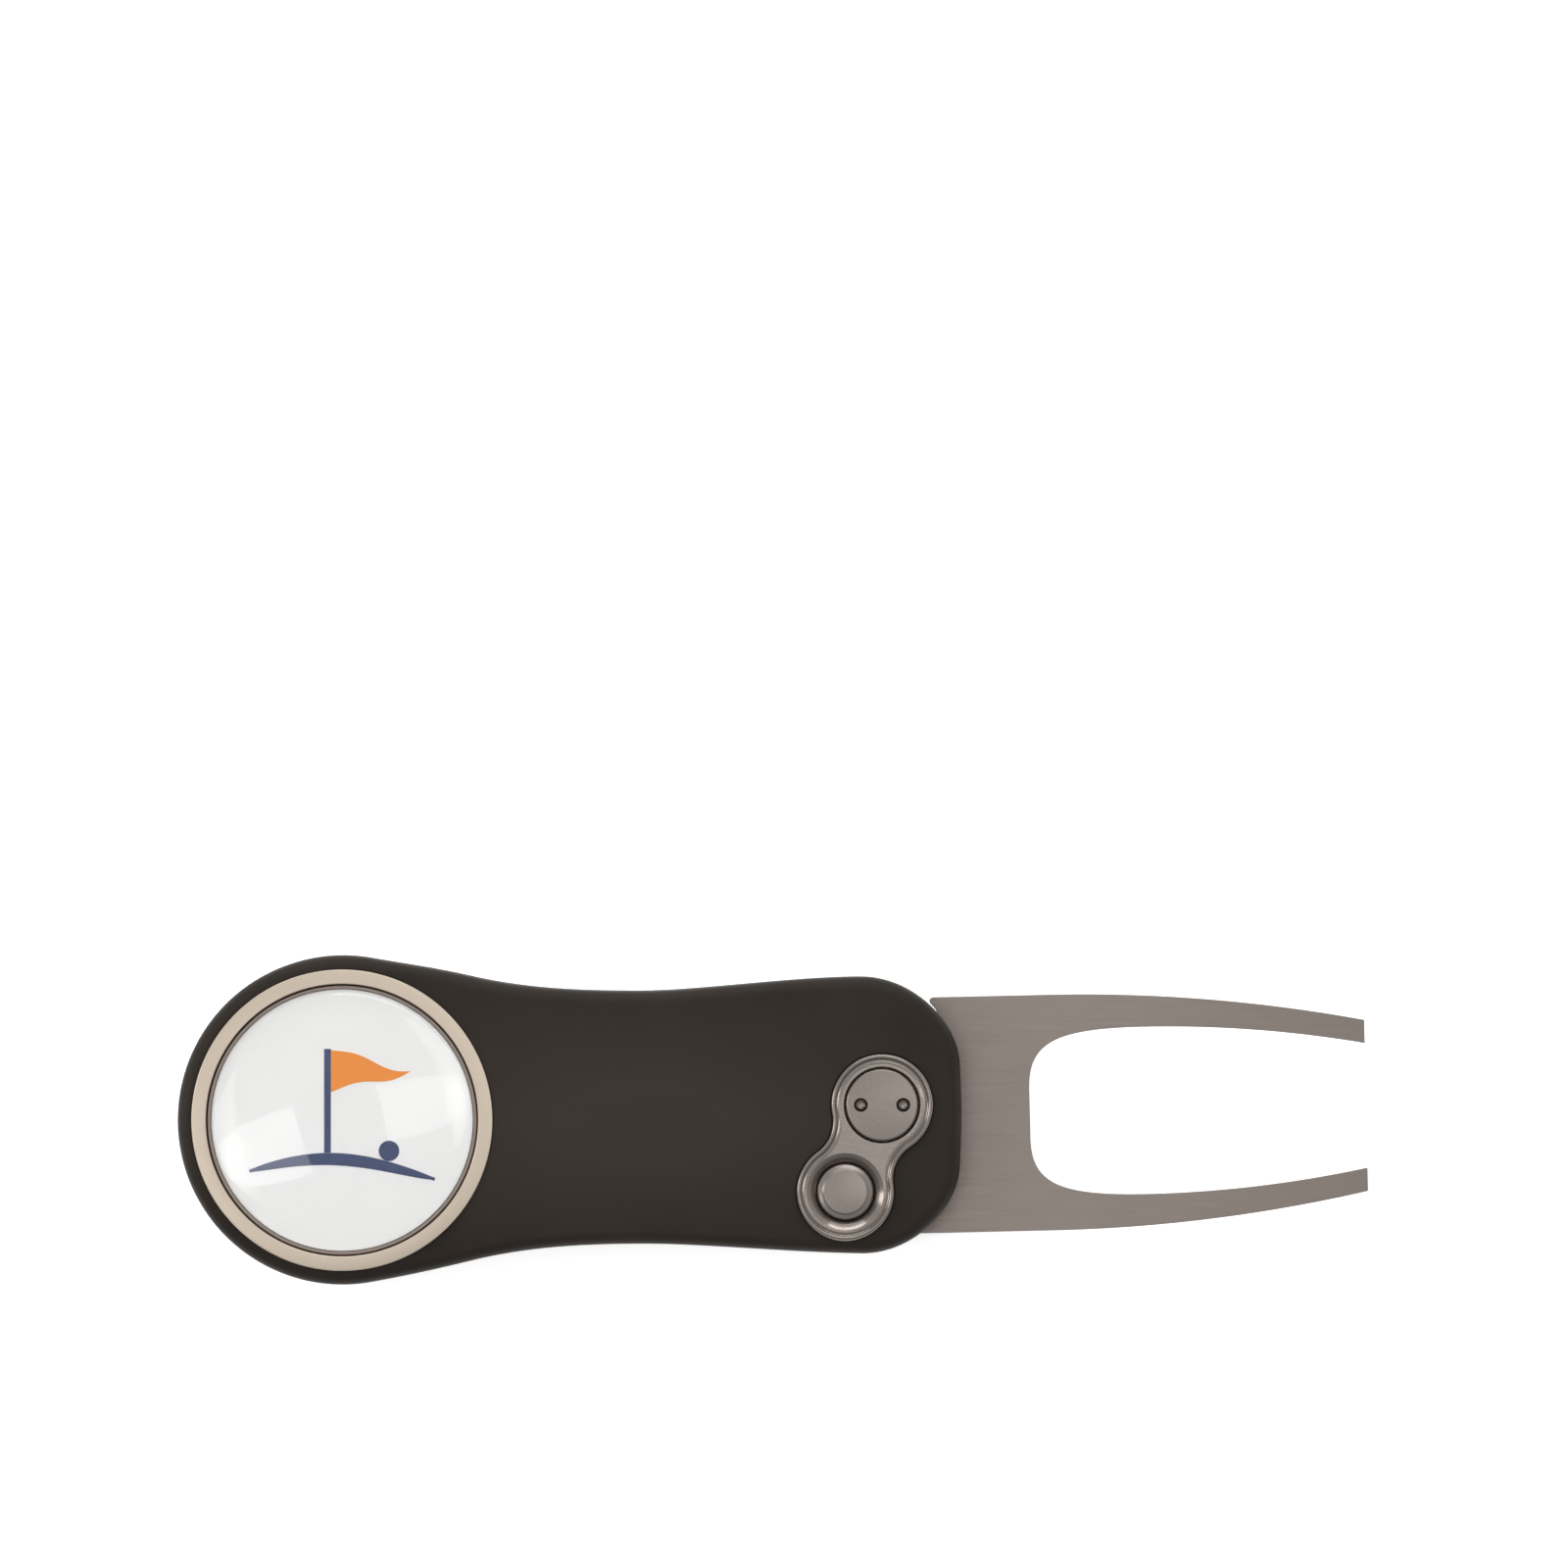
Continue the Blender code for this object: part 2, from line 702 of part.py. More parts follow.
def make_pivot():
    screw = turned(
        "pivot_screw",
        (
            (0, SCREW_HEAD_TOP),
            (SCREW_HEAD_RADIUS - 0.2, SCREW_HEAD_TOP),
            (SCREW_HEAD_RADIUS, SCREW_HEAD_TOP - 0.2),
            (SCREW_HEAD_RADIUS, SCREW_HEAD_LOW),
            (SCREW_SHANK_RADIUS, SCREW_HEAD_LOW),
            (SCREW_SHANK_RADIUS, SCREW_END + SCREW_END_CHAMFER),
            (SCREW_SHANK_RADIUS - SCREW_END_CHAMFER, SCREW_END),
            (0, SCREW_END),
        ),
    )
    make_part(screw, TRIM_GREY, pivot_place)
    for side in (-1, 1):
        hole = drum(
            f"spanner_hole_{side}", SPANNER_HOLE_RADIUS, SCREW_HEAD_TOP - SPANNER_HOLE_DEPTH,
            ABOVE, side * SPANNER_HOLE_OUT, sides=16,
        )
        combine(screw, "DIFFERENCE", make_cutter(hole, pivot_place))
    thread_radius = SCREW_SHANK_RADIUS + 0.08
    barrel = turned(
        "pivot_barrel",
        (
            (BARREL_RADIUS, BARREL_TOP),
            (BARREL_RADIUS, BARREL_FLANGE_HIGH),
            (BARREL_FLANGE_RADIUS, BARREL_FLANGE_HIGH),
            (BARREL_FLANGE_RADIUS, BARREL_FLANGE_LOW + BARREL_CHAMFER),
            (BARREL_FLANGE_RADIUS - BARREL_CHAMFER, BARREL_FLANGE_LOW),
            (0, BARREL_FLANGE_LOW),
            (0, THREAD_BOTTOM),
            (thread_radius, THREAD_BOTTOM),
            (thread_radius, BARREL_TOP),
        ),
        closed=True,
    )
    make_part(barrel, STEEL, pivot_place)
    slot_end = BARREL_FLANGE_RADIUS + 1
    slot = block(
        "driver_slot",
        (-slot_end, -DRIVER_SLOT_HALF, BELOW), (slot_end, DRIVER_SLOT_HALF, DRIVER_SLOT_TOP),
    )
    combine(barrel, "DIFFERENCE", make_cutter(slot, pivot_place))


def make_washers():
    """A bearing washer on each side of the fork."""
    rear_low = SLOT_LOW + SEAM
    rear = washer_profile(REAR_WASHER_RADII, rear_low, rear_low + WASHER)
    make_part(turned("rear_washer", rear, closed=True), BRONZE, pivot_place)
    front_high = SLOT_HIGH - SEAM
    front = washer_profile(FRONT_WASHER_RADII, front_high - WASHER, front_high)
    make_part(turned("front_washer", front, closed=True), BRONZE, pivot_place)


def notch_place(angle):
    """Where the lock collar stands in the fork's frame, by its direction there."""
    across = math.radians(angle)
    return BUTTON_FROM_PIVOT * math.cos(across), BUTTON_FROM_PIVOT * math.sin(across)


def fork_knots():
    """Anticlockwise from the heel: the lower edge, the lower prong, the window, the upper
    prong, the shoulder, the folded notch, the round tang and the open notch."""
    middle = FORK_MIDDLE_V
    flare_run = FORK_TIP_U - FORK_FLARE_U
    flare = math.degrees(math.atan(2 * (FORK_BODY_HALF - FORK_TIP_HALF) / flare_run))
    flare_reach = flare_run / 3
    taper_run = FORK_TIP_U - WINDOW_WIDEST_U
    taper = math.degrees(math.atan(2 * (WINDOW_HALF - WINDOW_TIP_HALF) / taper_run))
    taper_reach = taper_run / 3
    heel_v = middle - FORK_BODY_HALF + HEEL_ROUNDING
    shoulder_u = SHOULDER_U + SHOULDER_ROUNDING
    shoulder_v = middle + FORK_BODY_HALF - SHOULDER_ROUNDING
    open_angle = BUTTON_ANGLE - REST_TILT
    fold_angle = open_angle - FOLD_ANGLE
    open_u, open_v = notch_place(open_angle)
    fold_u, fold_v = notch_place(fold_angle)
    return [
        *arc(HEEL_U + HEEL_ROUNDING, heel_v, HEEL_ROUNDING, 180, 270),
        smooth(FORK_FLARE_U, middle - FORK_BODY_HALF, 0, 0, flare_reach),
        smooth(FORK_TIP_U, middle - FORK_TIP_HALF, flare, flare_reach, 0),
        smooth(FORK_TIP_U, middle - WINDOW_TIP_HALF, 180 + taper, 0, taper_reach),
        smooth(WINDOW_WIDEST_U, middle - WINDOW_HALF, 180, taper_reach, WINDOW_CORNER_ALONG),
        smooth(WINDOW_START_U, middle - WINDOW_START_HALF, 90, WINDOW_CORNER_ACROSS, 0),
        smooth(WINDOW_START_U, middle + WINDOW_START_HALF, 90, 0, WINDOW_CORNER_ACROSS),
        smooth(WINDOW_WIDEST_U, middle + WINDOW_HALF, 0, WINDOW_CORNER_ALONG, taper_reach),
        smooth(FORK_TIP_U, middle + WINDOW_TIP_HALF, -taper, taper_reach, 0),
        smooth(FORK_TIP_U, middle + FORK_TIP_HALF, 180 - flare, 0, flare_reach),
        smooth(FORK_FLARE_U, middle + FORK_BODY_HALF, 180, flare_reach, 0),
        *arc(shoulder_u, shoulder_v, SHOULDER_ROUNDING, 90, 180 + SHOULDER_SLANT),
        *chain(
            arc(fold_u, fold_v, NOTCH_RADIUS, SHOULDER_SLANT, fold_angle - 180),
            arc(0, 0, TANG_RADIUS, fold_angle, open_angle),
            arc(open_u, open_v, NOTCH_RADIUS, open_angle - 180, HEEL_SLANT),
        ),
    ]


def make_fork():
    fork = plate("fork", [fork_knots()], FORK_LOW, FORK_HIGH, steps=7)
    make_part(fork, FORK_GREY, fork_pivot)
    bore = drum("fork_bore", BARREL_RADIUS + 0.1, BELOW, ABOVE, sides=40)
    leg_angle = math.radians(TORSION_START + 360 * TORSION_TURNS - REST_TILT)
    leg_hole = drum(
        "leg_hole", 0.5, BELOW, FORK_LOW + 1.4,
        TORSION_RADIUS * math.cos(leg_angle), TORSION_RADIUS * math.sin(leg_angle), sides=16,
    )
    combine(
        fork, "DIFFERENCE",
        make_cutter(bore, fork_pivot), make_cutter(leg_hole, fork_pivot),
    )


# ---------------------------------------------------------------- the springs


def torsion_leg_end():
    """The free end of the spring's fixed leg, from the pivot."""
    start = math.radians(TORSION_START)
    point = Vector((math.cos(start), math.sin(start))) * TORSION_RADIUS
    along = Vector((math.sin(start), -math.cos(start)))
    return point + along * TORSION_LEG, along


def anchor_place():
    """The anchor pin stands beside the fixed leg, on the side that the leg pushes to."""
    end, along = torsion_leg_end()
    side = Vector((-along.y, along.x))
    place = end - along * 0.7 + side * (TORSION_WIRE + ANCHOR_RADIUS + SEAM)
    return place.x, place.y


def leg_channel():
    """Room in the rear shell for the fixed leg and the anchor pin's upper part."""
    end, along = torsion_leg_end()
    side = Vector((-along.y, along.x))
    near = end - along * TORSION_LEG
    corners = [
        near - side * 0.6,
        end + along * 0.5 - side * 0.6,
        end + along * 0.5 + side * 1.6,
        near + side * 1.6,
    ]
    return plate(
        "leg_channel", [[corner(point.x, point.y) for point in corners]], TORSION_FLOOR, ABOVE
    )


def make_springs():
    end, _ = torsion_leg_end()
    coil = coil_points(TORSION_RADIUS, TORSION_START, TORSION_TURNS, TORSION_LOW, TORSION_HIGH)
    last = coil[-1]
    rise = [(last[0], last[1], TORSION_HIGH + 0.4), (last[0], last[1], FORK_LOW + 1.1)]
    points = [(end.x, end.y, TORSION_LOW)] + coil + rise
    spring = wire("opening_spring", points, TORSION_WIRE, 0, 0)
    make_part(spring, STEEL, pivot_place)
    coil = coil_points(PUSH_RADIUS, 0, PUSH_TURNS, PUSH_LOW, PUSH_HIGH, steps=12)
    push = wire("button_spring", coil, PUSH_WIRE, 0, 0)
    make_part(push, STEEL, button_axis)
    pin_x, pin_y = anchor_place()
    profile = (
        (0, ANCHOR_TOP),
        (ANCHOR_RADIUS - 0.1, ANCHOR_TOP),
        (ANCHOR_RADIUS, ANCHOR_TOP - 0.1),
        (ANCHOR_RADIUS, ANCHOR_LOW),
        (0, ANCHOR_LOW),
    )
    make_part(turned("anchor_pin", profile, pin_x, pin_y, sides=16), STEEL, pivot_place)


# ---------------------------------------------------------------- the button


def make_button():
    cap = turned(
        "button_cap",
        (
            (0, BUTTON_TOP),
            (BUTTON_RADIUS - 0.5, BUTTON_TOP),
            (BUTTON_RADIUS - 0.1, BUTTON_TOP - 0.25),
            (BUTTON_RADIUS, BUTTON_TOP - 0.5),
            (BUTTON_RADIUS, BUTTON_FLANGE_HIGH),
            (BUTTON_FLANGE_RADIUS, BUTTON_FLANGE_HIGH),
            (BUTTON_FLANGE_RADIUS, BUTTON_FLANGE_LOW),
            (LOCK_PIN_RADIUS + 0.1, BUTTON_FLANGE_LOW),
            (LOCK_PIN_RADIUS + 0.1, LOCK_PIN_TOP + 0.1),
            (0, LOCK_PIN_TOP + 0.1),
        ),
    )
    make_part(cap, TRIM_GREY, button_axis)
    pin = turned(
        "lock_pin",
        (
            (0, LOCK_PIN_TOP),
            (LOCK_PIN_RADIUS, LOCK_PIN_TOP),
            (LOCK_PIN_RADIUS, COLLAR_HIGH),
            (COLLAR_RADIUS - 0.15, COLLAR_HIGH),
            (COLLAR_RADIUS, COLLAR_HIGH - 0.15),
            (COLLAR_RADIUS, COLLAR_LOW),
            (LOCK_TAIL_RADIUS, COLLAR_LOW),
            (LOCK_TAIL_RADIUS, LOCK_TAIL_LOW),
            (0, LOCK_TAIL_LOW),
        ),
        sides=32,
    )
    make_part(pin, STEEL, button_axis)


def make_escutcheon():
    trim = plate("escutcheon", [escutcheon_knots(0)], PLATE_LOW, PLATE_TOP, steps=7)
    make_part(trim, TRIM_GREY, pivot_place)
    dx = BUTTON_X - PIVOT_X
    dy = BUTTON_Y - PIVOT_Y
    cuts = [
        plate("web_recess", [escutcheon_knots(-PLATE_RIM)], PLATE_WEB, ABOVE, steps=7),
        drum("screw_hole", SCREW_SHANK_RADIUS + PLAY, BELOW, ABOVE),
        drum("screw_head_room", SCREW_HEAD_RADIUS + 0.2, SCREW_HEAD_LOW - SEAM, ABOVE),
        drum("cap_hole", CAP_HOLE_RADIUS, BELOW, ABOVE, dx, dy),
        drum("dish", DISH_LOW_RADIUS, DISH_LOW, DISH_TOP, dx, dy, top_radius=DISH_TOP_RADIUS),
    ]
    for cutter in cuts:
        make_cutter(cutter, pivot_place)
    combine(trim, "DIFFERENCE", *cuts)


# ---------------------------------------------------------------- the ball marker


def make_marker_seat():
    """The ring that the marker sits in, and the magnet under it."""
    low = POCKET_FLOOR + SEAM
    chamfer = 0.2
    profile = (
        (RING_OUTER - chamfer, RING_TOP),
        (RING_OUTER, RING_TOP - chamfer),
        (RING_OUTER, low),
        (RING_INNER, low),
        (RING_INNER, RING_TOP - chamfer),
        (RING_INNER + chamfer, RING_TOP),
    )
    ring = turned("marker_ring", profile, HEAD_X, 0, closed=True, sides=ROUND_SIDES)
    make_part(ring, CHAMPAGNE, handle)
    profile = (
        (0, MAGNET_HIGH),
        (MAGNET_RADIUS - chamfer, MAGNET_HIGH),
        (MAGNET_RADIUS, MAGNET_HIGH - chamfer),
        (MAGNET_RADIUS, MAGNET_LOW),
        (0, MAGNET_LOW),
    )
    make_part(turned("marker_magnet", profile, HEAD_X, 0, sides=32), MAGNET_NICKEL, handle)


def make_marker():
    """The metal disc with a shallow dish, the printed label in it and the lens on top."""
    low = POCKET_FLOOR + 0.08
    dish_radius = PRINT_RADIUS + 0.03
    base = (
        (0, MARKER_DISH),
        (dish_radius, MARKER_DISH),
        (dish_radius, MARKER_TOP),
        (MARKER_RADIUS - 0.05, MARKER_TOP),
        (MARKER_RADIUS, MARKER_TOP - 0.1),
        (MARKER_RADIUS, low + 0.2),
        (MARKER_RADIUS - 0.2, low),
        (0, low),
    )
    make_part(turned("marker_base", base, sides=ROUND_SIDES), MARKER_BRONZE, marker_axis)
    label = ((0, PRINT_HIGH), (PRINT_RADIUS, PRINT_HIGH), (PRINT_RADIUS, PRINT_LOW), (0, PRINT_LOW))
    make_part(turned("marker_print", label, sides=ROUND_SIDES), LABEL_WHITE, marker_axis)
    make_part(turned("marker_dome", dome_profile(), sides=ROUND_SIDES), CLEAR_RESIN, marker_axis)


def dome_profile():
    """An upright edge, a rounded shoulder and a shallow crown."""
    points = []
    steps = 6
    for i in range(steps + 1):
        angle = math.radians(90 * i / steps)
        radius = (PRINT_RADIUS - 0.25) * math.sin(angle)
        height = DOME_SHOULDER + (DOME_CROWN - DOME_SHOULDER) * math.cos(angle)
        points.append((radius, height))
    points += [(PRINT_RADIUS, DOME_SHOULDER - 0.3), (PRINT_RADIUS, DOME_FOOT), (0, DOME_FOOT)]
    return points


# ---------------------------------------------------------------- the pencil sharpener


def make_sharpener():
    """A turned body with a cone inside, and a flat cut across it for the blade."""
    cone_length = (MOUTH_RADIUS - CONE_END_RADIUS) / math.tan(math.radians(CONE_ANGLE))
    profile = (
        *sharpener_profile(0)[:-1],
        (MOUTH_RADIUS + 0.2, 0),
        (MOUTH_RADIUS, 0.2),
        (MOUTH_RADIUS, MOUTH_LENGTH),
        (CONE_END_RADIUS, MOUTH_LENGTH + cone_length),
        (0, MOUTH_LENGTH + cone_length),
    )
    body = lay_along_x(turned("sharpener_body", profile))
    make_part(body, STEEL, handle)
    half = BLADE_HALF_LENGTH
    cuts = [
        block("blade_flat", (-half - 0.4, -6, 0), (half + 4, 6, 4)),
        block("shavings_slot", (0.4 - half, BLADE_EDGE + 0.1, -1.2), (half - 0.4, 1.5, 4)),
        drum("blade_thread", BLADE_SCREW_SHANK + 0.1, -1.2, 4, *BLADE_SCREW, sides=16),
    ]
    for cutter in cuts:
        make_cutter(cutter, blade_seat)
    combine(body, "DIFFERENCE", *cuts)
    low = SEAM
    high = low + BLADE_THICKNESS
    blade = block("sharpener_blade", (-half, BLADE_BACK, low), (half, BLADE_EDGE, high))
    make_part(blade, STEEL, blade_seat)
    hole = drum("blade_hole", BLADE_SCREW_SHANK + 0.2, -1, 4, *BLADE_SCREW, sides=16)
    combine(blade, "DIFFERENCE", make_cutter(hole, blade_seat))
    under_head = high + SEAM
    profile = (
        (0, under_head + 0.5),
        (BLADE_SCREW_HEAD - 0.2, under_head + 0.5),
        (BLADE_SCREW_HEAD, under_head + 0.3),
        (BLADE_SCREW_HEAD, under_head),
        (BLADE_SCREW_SHANK, under_head),
        (BLADE_SCREW_SHANK, BLADE_SCREW_END),
        (0, BLADE_SCREW_END),
    )
    screw = turned("sharpener_screw", profile, *BLADE_SCREW, sides=16)
    make_part(screw, STEEL, blade_seat)


# ---------------------------------------------------------------- the tool

clear_scene()
tool = new_collection("divot_repair_tool")
cutters = new_collection("cutters")
handle = new_axis("handle_frame", 0, 0)
pivot_place = new_axis("pivot_place", PIVOT_X, PIVOT_Y, parent=handle)
fork_pivot = new_axis("fork_pivot", PIVOT_X, PIVOT_Y, REST_TILT, parent=handle)
button_axis = new_axis("button_axis", BUTTON_X, BUTTON_Y, parent=handle)
marker_axis = new_axis("marker_axis", HEAD_X, 0, parent=handle)
blade_seat = new_blade_seat()

sharpener_room = sharpener_cavities()
make_front_shell(sharpener_room)
make_rear_shell(sharpener_room)
make_spacers()
make_case_screws()
make_pivot()
make_washers()
make_fork()
make_springs()
make_button()
make_escutcheon()
make_marker_seat()
make_marker()
make_sharpener()
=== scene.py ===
"""The looks of the divot repair tool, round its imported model.

The pieces that show most are modelled again here with a fine surface, and the small hardware
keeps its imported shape. Each has a procedural finish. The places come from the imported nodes'
boxes and joints. Shapes are in millimetres, and each mesh is made in metres in the model's
own frame.
"""

import json
import math

import bpy
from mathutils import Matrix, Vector
from mathutils.geometry import interpolate_bezier


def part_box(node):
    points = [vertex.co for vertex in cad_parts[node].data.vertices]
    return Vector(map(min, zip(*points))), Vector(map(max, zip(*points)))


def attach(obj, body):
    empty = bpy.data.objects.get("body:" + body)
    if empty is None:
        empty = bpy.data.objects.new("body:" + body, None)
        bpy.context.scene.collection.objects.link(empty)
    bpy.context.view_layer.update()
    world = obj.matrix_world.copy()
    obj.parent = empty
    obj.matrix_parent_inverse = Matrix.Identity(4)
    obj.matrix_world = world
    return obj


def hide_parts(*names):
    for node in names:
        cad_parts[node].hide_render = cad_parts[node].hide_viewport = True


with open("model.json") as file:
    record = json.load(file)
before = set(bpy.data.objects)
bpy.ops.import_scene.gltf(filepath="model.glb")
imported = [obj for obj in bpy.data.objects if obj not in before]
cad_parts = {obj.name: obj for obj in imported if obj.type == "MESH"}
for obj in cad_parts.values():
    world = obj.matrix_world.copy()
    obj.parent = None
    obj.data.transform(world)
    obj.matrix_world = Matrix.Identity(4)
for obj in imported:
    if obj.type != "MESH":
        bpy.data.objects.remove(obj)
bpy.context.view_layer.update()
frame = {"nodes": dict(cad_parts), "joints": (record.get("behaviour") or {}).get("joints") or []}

MM = 0.001


def middle_of(node):
    """The middle of a node's box, in millimetres."""
    low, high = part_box(node)
    return (low + high) / 2 / MM


def heights_of(node):
    low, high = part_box(node)
    return low.z / MM, high.z / MM


JOINTS = {joint["name"]: joint for joint in frame["joints"]}
HEAD = middle_of("marker_ring")
PIVOT = Vector(JOINTS["fork_hinge"]["pos_m"]) / MM
BUTTON = middle_of("button_cap")
HANDLE_LOW, HANDLE_HIGH = (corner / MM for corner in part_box("front_shell"))
TO_BUTTON = Vector((BUTTON.x - PIVOT.x, BUTTON.y - PIVOT.y))
BUTTON_APART = TO_BUTTON.length
BUTTON_ANGLE = math.degrees(math.atan2(TO_BUTTON.y, TO_BUTTON.x)) % 360
FOLD_ANGLE = JOINTS["fork_hinge"]["range_deg"][1]

HEAD_RADIUS = HEAD.x - HANDLE_LOW.x
HANDLE_RIGHT = HANDLE_HIGH.x
HANDLE_END_Y = 0.46
REST_TILT = 1.3
SLOT_LOW = heights_of("rear_shell")[1]
SLOT_HIGH = heights_of("front_shell")[0]
FORK_LOW, FORK_HIGH = heights_of("fork")

# The fork's outline, along and across from its pivot.
FORK_MIDDLE = -1.11
FORK_HALF = 10.97
FORK_TIP = 45.06
FORK_TIP_HALF = 7.97
FLARE_START = 16.0
WINDOW_START = 13.75
WINDOW_START_HALF = 2.3
WINDOW_WIDEST = 24.4
WINDOW_HALF = 7.78
WINDOW_TIP_HALF = 5.79
WINDOW_CORNER_ACROSS = 4.2
WINDOW_CORNER_ALONG = 8.2
HEEL = -2.5
HEEL_ROUNDING = 1.3
HEEL_SLANT = -25
SHOULDER = 4.65
SHOULDER_ROUNDING = 0.35
SHOULDER_SLANT = 37
NOTCH_RADIUS = 1.58

# The two lobes of the plate over the pivot and the button, and the fillets between them.
PIVOT_LOBE = 4.82
BUTTON_LOBE = 4.62
LOBE_FILLET = 3.4


# ---------------------------------------------------------------- outlines


def smooth(x, y, heading, back, ahead):
    """A knot of an outline, with the reach of its two handles along its heading."""
    way = Vector((math.cos(math.radians(heading)), math.sin(math.radians(heading)), 0))
    point = Vector((x, y, 0))
    return point - way * back, point, point + way * ahead


def corner(x, y):
    return smooth(x, y, 0, 0, 0)


def arc(x, y, radius, start, end, before=0.0, after=0.0):
    """Knots along a circular arc, anticlockwise if end is more than start."""
    pieces = max(1, math.ceil(abs(end - start) / 91))
    reach = 4 / 3 * math.tan(math.radians(abs(end - start) / pieces) / 4) * radius
    turn = 90 if end > start else -90
    knots = []
    for i in range(pieces + 1):
        angle = start + (end - start) * i / pieces
        back = before if i == 0 else reach
        ahead = after if i == pieces else reach
        px = x + radius * math.cos(math.radians(angle))
        py = y + radius * math.sin(math.radians(angle))
        knots.append(smooth(px, py, angle + turn, back, ahead))
    return knots


def chain(*stretches, closed=False):
    """Joins stretches end to end: where two meet, one knot takes the handles of both."""
    knots = list(stretches[0])
    for stretch in stretches[1:]:
        back, point, _ = knots[-1]
        knots[-1] = (back, point, stretch[0][2])
        knots += stretch[1:]
    if closed:
        back, point, _ = knots.pop()
        knots[0] = (back, point, knots[0][2])
    return knots


def outline(knots, steps):
    """The points of a closed outline; a stretch with no handles is one straight side."""
    points = []
    for i, (_, start, start_handle) in enumerate(knots):
        end_handle, end, _ = knots[(i + 1) % len(knots)]
        if (start_handle - start).length < 1e-6 and (end_handle - end).length < 1e-6:
            points.append(start)
        else:
            points += interpolate_bezier(start, start_handle, end_handle, end, steps + 1)[:-1]
    return [Vector((p.x, p.y)) for p in points]


def inset(points, distance):
    """A smooth outline moved inwards, for an outline that runs anticlockwise."""
    moved = []
    for i, point in enumerate(points):
        along = (points[(i + 1) % len(points)] - points[i - 1]).normalized()
        moved.append(point + Vector((-along.y, along.x)) * distance)
    return moved


def handle_knots():
    """Anticlockwise from the top of the head."""
    return [
        *arc(HEAD.x, HEAD.y, HEAD_RADIUS, 80, 280, 3.2, 3.2),
        smooth(-28.2, -13.1, 13.8, 3.2, 5.2),
        smooth(-11.75, -11.5, 0, 6.5, 5.0),
        smooth(8.2, HANDLE_END_Y - 12.86, -1.0, 7.0, 4.65),
        smooth(HANDLE_RIGHT - 0.14, HANDLE_END_Y - 4.8, 87, 4.05, 1.5),
        smooth(HANDLE_RIGHT, HANDLE_END_Y, 90, 1.6, 1.6),
        smooth(HANDLE_RIGHT - 0.14, HANDLE_END_Y + 4.8, 93, 1.5, 4.05),
        smooth(8.2, HANDLE_END_Y + 12.86, 180, 4.65, 6.5),
        smooth(-12.5, 12.0, 180, 5.5, 6.0),
        smooth(-28.2, 13.4, 167, 5.2, 3.2),
    ]


def escutcheon_knots(grow):
    """The plate's 8 about the pivot: two lobes joined by fillets, grown by a margin."""
    pivot_radius = PIVOT_LOBE + grow
    button_radius = BUTTON_LOBE + grow
    fillet = LOBE_FILLET - grow
    from_pivot = pivot_radius + fillet
    from_button = button_radius + fillet
    apart = BUTTON_APART
    # The fillets' centres, by the cosine rule in the triangle of the three centres.
    cosine = (from_pivot**2 + apart**2 - from_button**2) / (2 * from_pivot * apart)
    at_pivot = math.degrees(math.acos(cosine))
    cosine = (from_button**2 + apart**2 - from_pivot**2) / (2 * from_button * apart)
    at_button = math.degrees(math.acos(cosine))
    first = math.radians(BUTTON_ANGLE - at_pivot)
    second = math.radians(BUTTON_ANGLE + at_pivot)
    return chain(
        arc(0, 0, pivot_radius, BUTTON_ANGLE + at_pivot - 360, BUTTON_ANGLE - at_pivot),
        arc(
            from_pivot * math.cos(first),
            from_pivot * math.sin(first),
            fillet,
            BUTTON_ANGLE - at_pivot + 180,
            BUTTON_ANGLE + at_button,
        ),
        arc(
            TO_BUTTON.x,
            TO_BUTTON.y,
            button_radius,
            BUTTON_ANGLE + at_button - 180,
            BUTTON_ANGLE + 180 - at_button,
        ),
        arc(
            from_pivot * math.cos(second),
            from_pivot * math.sin(second),
            fillet,
            BUTTON_ANGLE - at_button,
            BUTTON_ANGLE + at_pivot - 180,
        ),
        closed=True,
    )


def notch_knots(angle, start, end):
    """The arc that the lock collar sits in, by the collar's direction from the pivot."""
    across = math.radians(angle)
    x = BUTTON_APART * math.cos(across)
    y = BUTTON_APART * math.sin(across)
    return arc(x, y, NOTCH_RADIUS, start, end)


